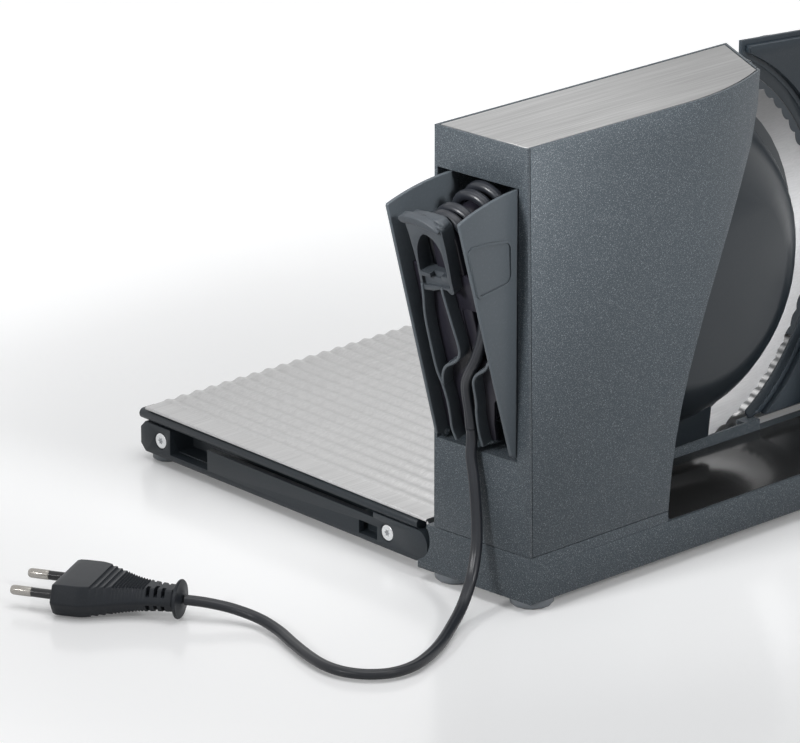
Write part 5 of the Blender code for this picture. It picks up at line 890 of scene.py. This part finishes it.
lead_out = curve_through([at(*p) for p in LEAD_OUT], 4)
way_in = (lead_out[-1] - lead_out[-3]).normalized()
PLUG_LONG, PLUG_WIDE, PLUG_HIGH, FLANGE_BACK = 47.0, 34.5, 13.2, 4.1
NECK_LIFT = 1.0  # the flange rests on the table, and tips the neck up a little
flange = PLUG_ROOT - PLUG_AXIS * (PLUG_LONG + FLANGE_BACK) * MM + UP * NECK_LIFT * MM
free_points = [*(lead_out[-1] + way_in * ahead * MM for ahead in (0.3, 5.1)), *[placed(*p) for p in CORD_ROUTE], flange]
free_line = curve_through(free_points, 8)


def line_length(line):
    return sum((b - a).length for a, b in zip(line, line[1:]))


print("free lead, mm:", round(line_length(free_line) / MM))

# %% [markdown]
# The jacket's section is two half rounds with a shallow waist between the cores. **lofted** stretches a closed skin
# over rings of points, and later makes the plug and the blade too.

# %% Section and skin
def flat_twin(wide, high, waist=0.10, steps=7):
    """Half-round sides with a shallow waist between the two cores, as (across, up) points."""
    points = []
    for side in (1, -1):
        for k in range(steps + 1):
            angle = math.radians(-90 + 180 * k / steps)
            across = wide / 2 - high / 2 + high / 2 * math.cos(angle)
            points.append((side * across, side * high / 2 * math.sin(angle)))
        points.append((0.0, side * high / 2 * (1 - waist)))
    return points


def lofted(name, rings, smooth_angle=60):
    """A closed skin over rings of points that match one to one, with a face at both ends."""
    mesh = bpy.data.meshes.new(name)
    shape = bmesh.new()
    grid = [[shape.verts.new(point) for point in ring] for ring in rings]
    for low, high in zip(grid, grid[1:]):
        for k in range(len(low)):
            shape.faces.new((low[k], low[k - 1], high[k - 1], high[k]))
    shape.faces.new(grid[0])
    shape.faces.new(grid[-1][::-1])
    bmesh.ops.recalc_face_normals(shape, faces=shape.faces)
    shape.to_mesh(mesh)
    shape.free()
    piece = bpy.data.objects.new(name, mesh)
    bpy.context.scene.collection.objects.link(piece)
    print("skin:", name, "over", len(rings), "rings")
    return smooth(piece, smooth_angle)


# %% [markdown]
# A sweep needs three things at each station: the point, the way on, and which side is up. **swept** sets the section
# there and joins it to the last one; a cap at both ends closes the jacket.

# %% Sweep a section along a line
def swept(name, line, tops, section):
    """A jacket of the given section along a line, one top direction for each point."""
    rings = []
    for i, here in enumerate(line):
        run = way_on(line, i)
        side = run.cross(tops[i]).normalized()
        top = side.cross(run)
        rings.append([here + side * a + top * b for a, b in section])
    return lofted(name, rings)


def turning(line, first, last, begin, end):
    """Top directions that turn from first to last between two shares of the line."""
    tops = []
    for i in range(len(line)):
        share = eased((i / (len(line) - 1) - begin) / (end - begin))
        tops.append(first.lerp(last, share).normalized())
    return tops


cord_free = swept("mains_lead", free_line, turning(free_line, END_OUT, UP, 0.10, 0.34),
                  flat_twin(CORD_WIDE, CORD_HIGH))

# %% [markdown]
# The turns lie on a **racetrack** about the core: two straight sides and two half rounds. A place on it follows from
# the way travelled.

# %% The track round the core
RUN = (CORE_HIGH - CORE_LOW) / 2  # half of a straight side
BEND = math.pi * WOUND_RADIUS
LAP = 2 * BEND + 4 * RUN


def on_track(travel):
    """The (along, height) place on the racetrack after some travel from its low far corner."""
    s = travel % LAP
    if s < 2 * RUN:
        return CORE_U + WOUND_RADIUS, CORE_LOW + s
    s -= 2 * RUN
    angle = s / WOUND_RADIUS
    if s < BEND:
        return CORE_U + WOUND_RADIUS * math.cos(angle), CORE_HIGH + WOUND_RADIUS * math.sin(angle)
    s -= BEND
    if s < 2 * RUN:
        return CORE_U - WOUND_RADIUS, CORE_HIGH - s
    angle = (s - 2 * RUN) / WOUND_RADIUS
    return CORE_U - WOUND_RADIUS * math.cos(angle), CORE_LOW - WOUND_RADIUS * math.sin(angle)


print("one turn, mm:", round(LAP))

# %% [markdown]
# The **wound lead** lies in four turns on the core, deepest first. It starts in the gland, climbs beside the core,
# goes round it, and comes forward through the window.

# %% The winding
RUN_STEPS, BEND_STEPS, CLIMB_STEPS, LAST_BIT = 10, 16, 12, 22
OUT_OF_GLAND, CLIMB_FROM, TURNED_BY = (9.8, 14.6), 0.9, 0.45
WOUND_HIGH, WOUND_WAIST = 0.0043, 0.06


def winding_line():
    """(along, height, depth) points of the wound lead, from the gland to the window."""
    half_lap = [2 * RUN * k / RUN_STEPS for k in range(RUN_STEPS)] + [
        2 * RUN + BEND * k / BEND_STEPS for k in range(BEND_STEPS)]
    stations = half_lap + [travel + LAP / 2 for travel in half_lap]
    points = [(LEAD_U, height, TURN_DEPTHS[0]) for height in OUT_OF_GLAND]
    low = CORE_LOW + RUN * CLIMB_FROM
    for k in range(CLIMB_STEPS):
        share = k / CLIMB_STEPS
        points.append((LEAD_U + (CORE_U + WOUND_RADIUS - LEAD_U) * eased(share), low + (CORE_HIGH - low) * share,
                       TURN_DEPTHS[0]))
    for turn, depth in enumerate(TURN_DEPTHS):
        deeper = TURN_DEPTHS[turn - 1] if turn else depth
        for travel in stations:
            before_first = turn == 0 and travel < 2 * RUN
            after_last = turn == len(TURN_DEPTHS) - 1 and travel > 2 * RUN + BEND + LAST_BIT
            if not (before_first or after_last):
                points.append((*on_track(travel), deeper + (depth - deeper) * eased(travel / (2 * RUN))))
    return points


wound = winding_line()
wound_line = [at(*point) for point in wound] + lead_out
tops = []
for along, height, _ in wound:
    away = Vector((along - CORE_U, height - min(max(height, CORE_LOW), CORE_HIGH))).normalized()
    tops.append((END_ALONG * away.x + CASSETTE_UP * away.y).normalized())
last_top = tops[-1]
tops += [last_top.lerp(END_OUT, eased(k / (TURNED_BY * len(lead_out)))).normalized() for k in range(len(lead_out))]
cord_wound = swept("wound_lead", wound_line, tops, flat_twin(CORD_WIDE, WOUND_HIGH, WOUND_WAIST))
fit(cord_wound, cord_rubber, "cassette", "cord_wound")
print("wound lead, mm:", round(line_length(wound_line) / MM))

# %% [markdown]
# ## The plug
# A flat two-pin plug is one soft moulding: a thick end, steps and ribs to grip, a slotted neck that bends with the
# lead, and a trumpet-shaped flange. Up to the flange it is one skin over many six-sided sections. Their width, height
# and corner follow a short table, and the ribs are only a change of their height, so they fade out into the sides by
# themselves.

# %% Plug form
# share of the length from the pin end: width, height, corner
PLUG_FORM = ((0.0, 0.92, 0.84, 0.20), (0.012, 0.97, 0.93, 0.20), (0.04, 0.995, 0.985, 0.20), (0.10, 1.0, 1.0, 0.20),
             (0.24, 0.995, 1.0, 0.20), (0.28, 0.97, 1.0, 0.20), (0.34, 0.91, 0.99, 0.22), (0.42, 0.80, 0.96, 0.24),
             (0.50, 0.69, 0.92, 0.28), (0.60, 0.56, 0.87, 0.32), (0.72, 0.44, 0.81, 0.40), (0.84, 0.37, 0.76, 0.50),
             (1.0, 0.33, 0.72, 0.60))
STEPS_FROM, RIBS_FROM, RIBS_TO, STEP_LONG, RIB_LONG, RIB_DEEP = 0.335, 0.50, 0.765, 0.055, 0.0265, 0.95
SLOPE_WIDE, SLOPE_SHARE, RIDGE_LEVEL, SOFTER, CREST = 3.0, 0.35, -0.1, 0.45, 0.80


def from_table(table, share):
    """A row of the table at a share, between its neighbours."""
    for low, high in zip(table, table[1:]):
        if share <= high[0]:
            t = (share - low[0]) / (high[0] - low[0])
            return [a + (b - a) * t for a, b in zip(low[1:], high[1:])]


def rib_depth(share):
    """How much lower the top lies than its crest: three broad steps, then ten fine ribs."""
    if STEPS_FROM < share < RIBS_FROM:
        t = (share - STEPS_FROM) / STEP_LONG % 1
        return RIB_DEEP * (1 - t) * (0.35 + 0.65 * min(t * 6, 1))
    if RIBS_FROM <= share < RIBS_TO:
        return RIB_DEEP * (0.5 - 0.5 * math.cos(math.tau * (share - RIBS_FROM) / RIB_LONG))
    return 0.0


print("plug form:", len(PLUG_FORM), "rows")

# %% [markdown]
# Each station gets a section of points, and stations lie close together where the steps and ribs are. The skin is
# stretched over them.

# %% Plug body
def plug_at(back, side, height):
    return PLUG_ROOT + (PLUG_AXIS * -back + PLUG_SIDE * side + UP * (height + NECK_LIFT * back / PLUG_LONG)) * MM


def plug_ring(back, width, height, corner_share, dip):
    """A section with a flat top and bottom and sides that slope out to a ridge at mid height."""
    half_w, half_h = PLUG_WIDE / 2 * width, PLUG_HIGH / 2 * height
    flat = half_w - min(SLOPE_WIDE, half_w * SLOPE_SHARE)
    ridge, reach = RIDGE_LEVEL * half_h, half_h * corner_share
    soft_reach = reach * SOFTER
    outline = rounded_outline(
        [(flat, half_h), (-flat, half_h), (-half_w, ridge), (-flat, -half_h), (flat, -half_h), (half_w, ridge)],
        (soft_reach, soft_reach, reach, reach, reach, reach), 5)
    return [plug_at(back, u, v - math.copysign(dip * max(abs(v) / half_h - CREST, 0) / (1 - CREST), v))
            for u, v in outline]


def even_shares(start, end, steps):
    return [start + (end - start) * k / steps for k in range(steps + 1)]


stations = sorted({0.0, 0.004, 0.012, 0.024, 0.04, 0.06, *even_shares(0.10, STEPS_FROM, 8),
                   *even_shares(STEPS_FROM, RIBS_FROM, 36), *even_shares(RIBS_FROM, RIBS_TO, 80),
                   *even_shares(RIBS_TO, 1.0, 12)})
rings = []
for share in stations:
    width, height, corner = from_table(PLUG_FORM, share)
    if share == 0.0:
        width, height = width * 0.985, height * 0.94
    rings.append(plug_ring(share * PLUG_LONG, width, height, corner, rib_depth(share)))
plug_body = lofted("plug_moulding", rings, 35)

# %% [markdown]
# The **neck slots** are cut from both faces, and the **flange** is half a section spun about the plug's axis.

# %% Neck slots and flange
SLOT_WIDE, SLOT_OUT = 1.5, 9.0
slots = []
for row, (start, inner) in enumerate(((36.6, 2.6), (39.7, 0.9), (42.8, 2.0))):
    for number, (low, high) in enumerate(((1.7, 7.5), (-7.5, -1.7))):
        for side in (-1, 1):
            a, b = sorted((side * inner, side * SLOT_OUT))
            corners = [(start, a), (start + SLOT_WIDE, a), (start + SLOT_WIDE, b), (start, b)]
            slots.append(block(f"slot_tool_{row}_{number}_{side}", [plug_at(back, s, low) for back, s in corners],
                               UP * (high - low) * MM))
carve(plug_body, *slots)


def spun(name, profile, centre, axis, out, steps=48):
    """A (radius, along) half section in millimetres, drawn beside an axis and spun about it."""
    drawn(name, [centre + (out * r + axis * y) * MM for r, y in profile], filled=False)
    bpy.ops.mesh.spin(steps=steps, angle=math.tau, center=centre, axis=axis)
    return close_edit(MERGE_WIDE)


TRUMPET = [(0.0, 0.0), (4.7, 0.0), (4.9, 0.5), (5.7, 1.3), (7.1, 1.9), (7.9, 2.4), (8.0, 3.0), (7.6, 3.5), (4.6, 3.7),
           (3.2, 4.3), (2.7, 4.4), (0.0, 4.4)]
plug_flange = spun("plug_flange", TRUMPET, plug_at(PLUG_LONG - 0.9, 0, 0), -PLUG_AXIS, UP, 40)
carve(plug_body, smooth(plug_flange, 40), operation="UNION")
fit(smooth(plug_body, 35), plug_rubber, "base", "plug_body", slot="cord_rubber")

# %% [markdown]
# Each **pin** is a nickelled rod with a domed end, and a black sleeve over its inner half.

# %% Plug pins
PIN_SPACING = 18.6
BARE = [(0, 8.6), (1.85, 8.6), (1.85, 10.0), (1.98, 10.1), (2.0, 10.3), (2.0, 17.3), (1.85, 18.1), (1.45, 18.7),
        (0.8, 18.95), (0, 19.0)]
SLEEVE = [(0, -3.2), (1.9, -3.2), (1.9, -0.2), (2.35, 0.0), (2.35, 1.0), (1.95, 1.2), (1.9, 9.9), (1.7, 10.0),
          (0, 10.0)]
for number, side in ((1, PIN_SPACING / 2), (2, -PIN_SPACING / 2)):
    for kind, profile, finish, slot_name in (("bare", BARE, plug_nickel, "bright_steel"),
                                             ("sleeve", SLEEVE, button_gloss, "cord_rubber")):
        rod = spun(f"plug_pin_{kind}_{number}", profile, plug_at(0, side, 0), PLUG_AXIS, UP, 28)
        fit(smooth(rod, 40), finish, "base", f"plug_pin_{number}", slot=slot_name)

# %% [markdown]
# ## Carriage
# The **plate** is a satin sheet with shallow waves. They are drawn once as a section with a dozen points to each
# ridge, and pushed through the whole depth of the plate. The near edge turns down in a lip.

# %% Carriage plate
PLATE_LONG, PLATE_NEAR, PLATE_FAR, PLATE_UNDER, PLATE_MID = 292.0, 60.8, 235.5, 22.3, 23.6
RIDGE_PITCH, RIDGE_RISE, RIDGES, RIDGE_STEPS = 8.0, 0.5, 34, 12
LIP_THICK, LIP_DEEP, CUT, UPPER_CUT = 1.2, 3.6, 0.25, 0.3
wave_start = (PLATE_LONG - RIDGES * RIDGE_PITCH) / 2
section = [(0.0, PLATE_UNDER + CUT), (0.0, PLATE_MID - UPPER_CUT), (UPPER_CUT, PLATE_MID)]
for k in range(RIDGES * RIDGE_STEPS + 1):
    section.append((wave_start + RIDGES * RIDGE_PITCH * k / (RIDGES * RIDGE_STEPS),
                    PLATE_MID + RIDGE_RISE * math.sin(math.tau * k / RIDGE_STEPS)))
section += [(PLATE_LONG - UPPER_CUT, PLATE_MID), (PLATE_LONG, PLATE_MID - UPPER_CUT),
            (PLATE_LONG, PLATE_UNDER + CUT), (PLATE_LONG - CUT, PLATE_UNDER), (CUT, PLATE_UNDER)]
plate = block("carriage_sheet", [placed(x, PLATE_NEAR, z) for x, z in section],
              ACROSS * (PLATE_FAR - PLATE_NEAR) * MM)
foot = [(LIP_THICK, 0), (PLATE_LONG - LIP_THICK, 0), (PLATE_LONG - LIP_THICK, LIP_THICK), (LIP_THICK, LIP_THICK)]
lip = block("sheet_lip", [placed(x, PLATE_NEAR + y, PLATE_UNDER - LIP_DEEP) for x, y in foot],
            UP * (LIP_DEEP + 0.3) * MM)
carve(plate, lip, operation="UNION")
fit(rounded(plate, 0.25, 2, 50, 30), carriage_steel, "carriage", "carriage_plate")

# %% [markdown]
# The guide rods are held by **screws with a star socket**. One is modelled, and the others are copies with their own
# mesh.

# %% Rod screws
ARM_RIGHT, ROD_NEAR, ROD_FAR, ROD_HEIGHT = 288.0, 84.1, 225.7, 10.8
HEAD = [(0, 0.15), (2.1, 0.15), (2.35, 0.05), (3.0, 0.0), (3.3, 0.12), (3.47, 0.4), (3.47, 1.55), (1.8, 1.55),
        (1.8, 9.9), (0, 9.9)]
STAR_RADIUS, STAR_WAVE, STAR_POINTS, STAR_STEPS = 1.28, 0.36, 6, 24
first_place = placed(0, ROD_NEAR, ROD_HEIGHT)
screw = spun("screw_near_left", HEAD, first_place, ALONG, UP, 40)
star = []
for k in range(STAR_STEPS):
    turn = math.tau * k / STAR_STEPS
    radius = STAR_RADIUS + STAR_WAVE * math.cos(STAR_POINTS * turn)
    star.append(first_place + ((ACROSS * math.cos(turn) + UP * math.sin(turn)) * radius - ALONG) * MM)
carve(screw, block("star_tool", star, ALONG * 2.2 * MM))
settle(smooth(screw, 40))
for where, x, y in (("near_left", 0, ROD_NEAR), ("far_left", 0, ROD_FAR), ("near_right", ARM_RIGHT, ROD_NEAR),
                    ("far_right", ARM_RIGHT, ROD_FAR)):
    copy = screw
    if where != "near_left":
        only(screw)
        bpy.ops.object.duplicate()
        copy = bpy.context.object
        copy.name = copy.data.name = "screw_" + where
        edit_all()
        if x:
            bpy.ops.transform.rotate(value=math.pi, orient_axis="Z", center_override=first_place)
        bpy.ops.transform.translate(value=(x * MM, (y - ROD_NEAR) * MM, 0))
        bpy.ops.object.mode_set(mode="OBJECT")
    fit(copy, bright_steel, "base", "rod_screw_" + where)

# %% [markdown]
# ## The blade
# A slicing blade is a thin disc, hollow-ground in a broad bright ring, with shallow scallops in its rim. The
# scalloped points stay on the cone of the grinding, or each tooth gets a kink of light, so their depth follows from
# their radius.

# %% Blade
BLADE_RADIUS, BEVEL, BLADE_FRONT, BLADE_THICK, EDGE_THICK = 85.0, 10.0, 52.2, 2.4, 0.35
TEETH, TOOTH_STEPS, TOOTH_DEPTH, INNER_RADIUS, TOOTH_START = 72, 8, 1.5, 60.0, 3.2
BLADE_BACK, BORE_RADIUS, BORE_MIDDLE, BORE_LONG = BLADE_FRONT + BLADE_THICK, 5.3, 53, 12


def round_blade(radius, angle, depth):
    return BLADE_CENTRE + Vector((radius * math.cos(angle), depth, radius * math.sin(angle))) * MM


def blade_ring(radius, wave=0.0, depth=None):
    """A ring of points at one depth, or else on the cone of the grinding."""
    points = []
    for k in range(TEETH * TOOTH_STEPS):
        r = radius - wave * abs(math.sin(math.pi * k / TOOTH_STEPS)) ** 0.8
        on_cone = BLADE_FRONT + (BLADE_THICK - EDGE_THICK) * (r - (BLADE_RADIUS - BEVEL)) / BEVEL
        points.append(round_blade(r, math.tau * k / (TEETH * TOOTH_STEPS), on_cone if depth is None else depth))
    return points


disc = lofted("blade_disc", [
    blade_ring(INNER_RADIUS, depth=BLADE_FRONT), blade_ring(BLADE_RADIUS - BEVEL, depth=BLADE_FRONT),
    blade_ring(BLADE_RADIUS - TOOTH_START), blade_ring(BLADE_RADIUS, TOOTH_DEPTH),
    blade_ring(BLADE_RADIUS, TOOTH_DEPTH, BLADE_BACK), blade_ring(INNER_RADIUS, depth=BLADE_BACK)], 20)
drop_all()
bpy.ops.mesh.primitive_cylinder_add(vertices=48, radius=BORE_RADIUS * MM, depth=BORE_LONG * MM,
                                    rotation=(math.pi / 2, 0, 0), location=BLADE_CENTRE + ACROSS * BORE_MIDDLE * MM)
carve(disc, bpy.context.object)
fit(smooth(disc, 20), blade_steel, "blade", "blade")

# %% [markdown]
# The stop's curved edge carries a dark **lip** that closes the gap round the blade. It clears the teeth a little and
# slides with the stop.

# %% Lip of the stop
LIP_IN, LIP_OUT, LIP_FROM, LIP_TO, LIP_STEPS, LIP_FRONT, LIP_LONG = 86.9, 92.6, -58, 60, 30, 52.9, 0.9
arc = [math.radians(LIP_FROM + (LIP_TO - LIP_FROM) * k / LIP_STEPS) for k in range(LIP_STEPS + 1)]
lip_line = [(LIP_IN, a) for a in arc] + [(LIP_OUT, a) for a in reversed(arc)]
lip = block("stop_lip", [round_blade(r, a, LIP_FRONT) for r, a in lip_line], ACROSS * LIP_LONG * MM)
fit(rounded(lip, 0.25), frame_plastic, "stop", slot="dark_plastic")

# %% [markdown]
# ## The tray
# In front of the blade the base carries a black glossy inlay that crumbs wipe off. Its outline follows the tower's
# foot.

# %% Tray inlay
TRAY_TOP, TRAY_THICK = 19.7, 0.2
tray_line = rounded_outline([(78.6, 1.5), (298.5, 1.5), (298.5, 48.7), (100.6, 48.7)], (0.8, 3.0, 1.0, 0.6))
tray = block("tray_inlay", [placed(x, y, TRAY_TOP) for x, y in tray_line], UP * TRAY_THICK * MM)
fit(rounded(tray, 0.08, shade=40), tray_gloss, "base", slot="dark_gloss")

# %% [markdown]
# The turned pieces have short steps, so a smaller angle already counts as an edge.

# %% Softened turned pieces
TURNED_RADII = {
    "thickness_knob": 0.35, "power_button": 0.3, "lock_button": 0.3, "foot_near_left": 0.5, "foot_far_left": 0.5,
    "foot_near_right": 0.5, "foot_far_right": 0.5, "support_foot_left": 0.4, "support_foot_right": 0.4,
    "blade_lock": 0.25}
for node_name, radius in TURNED_RADII.items():
    softened(node_name, radius, angle=30)

# %% [markdown]
# ## Hand over
# The free lead follows the cassette at its first centimetres and the table from there on, so it bends between the two
# bodies.

give(cord_free, cord_rubber)
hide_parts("cord_free")
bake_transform(cord_free, "cassette", "base", start=free_line[0], end=free_line[24])

# %% Measure the visual box
low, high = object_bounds()
print("visual box, mm:", [round(1000 * (b - a), 1) for a, b in zip(low, high)])
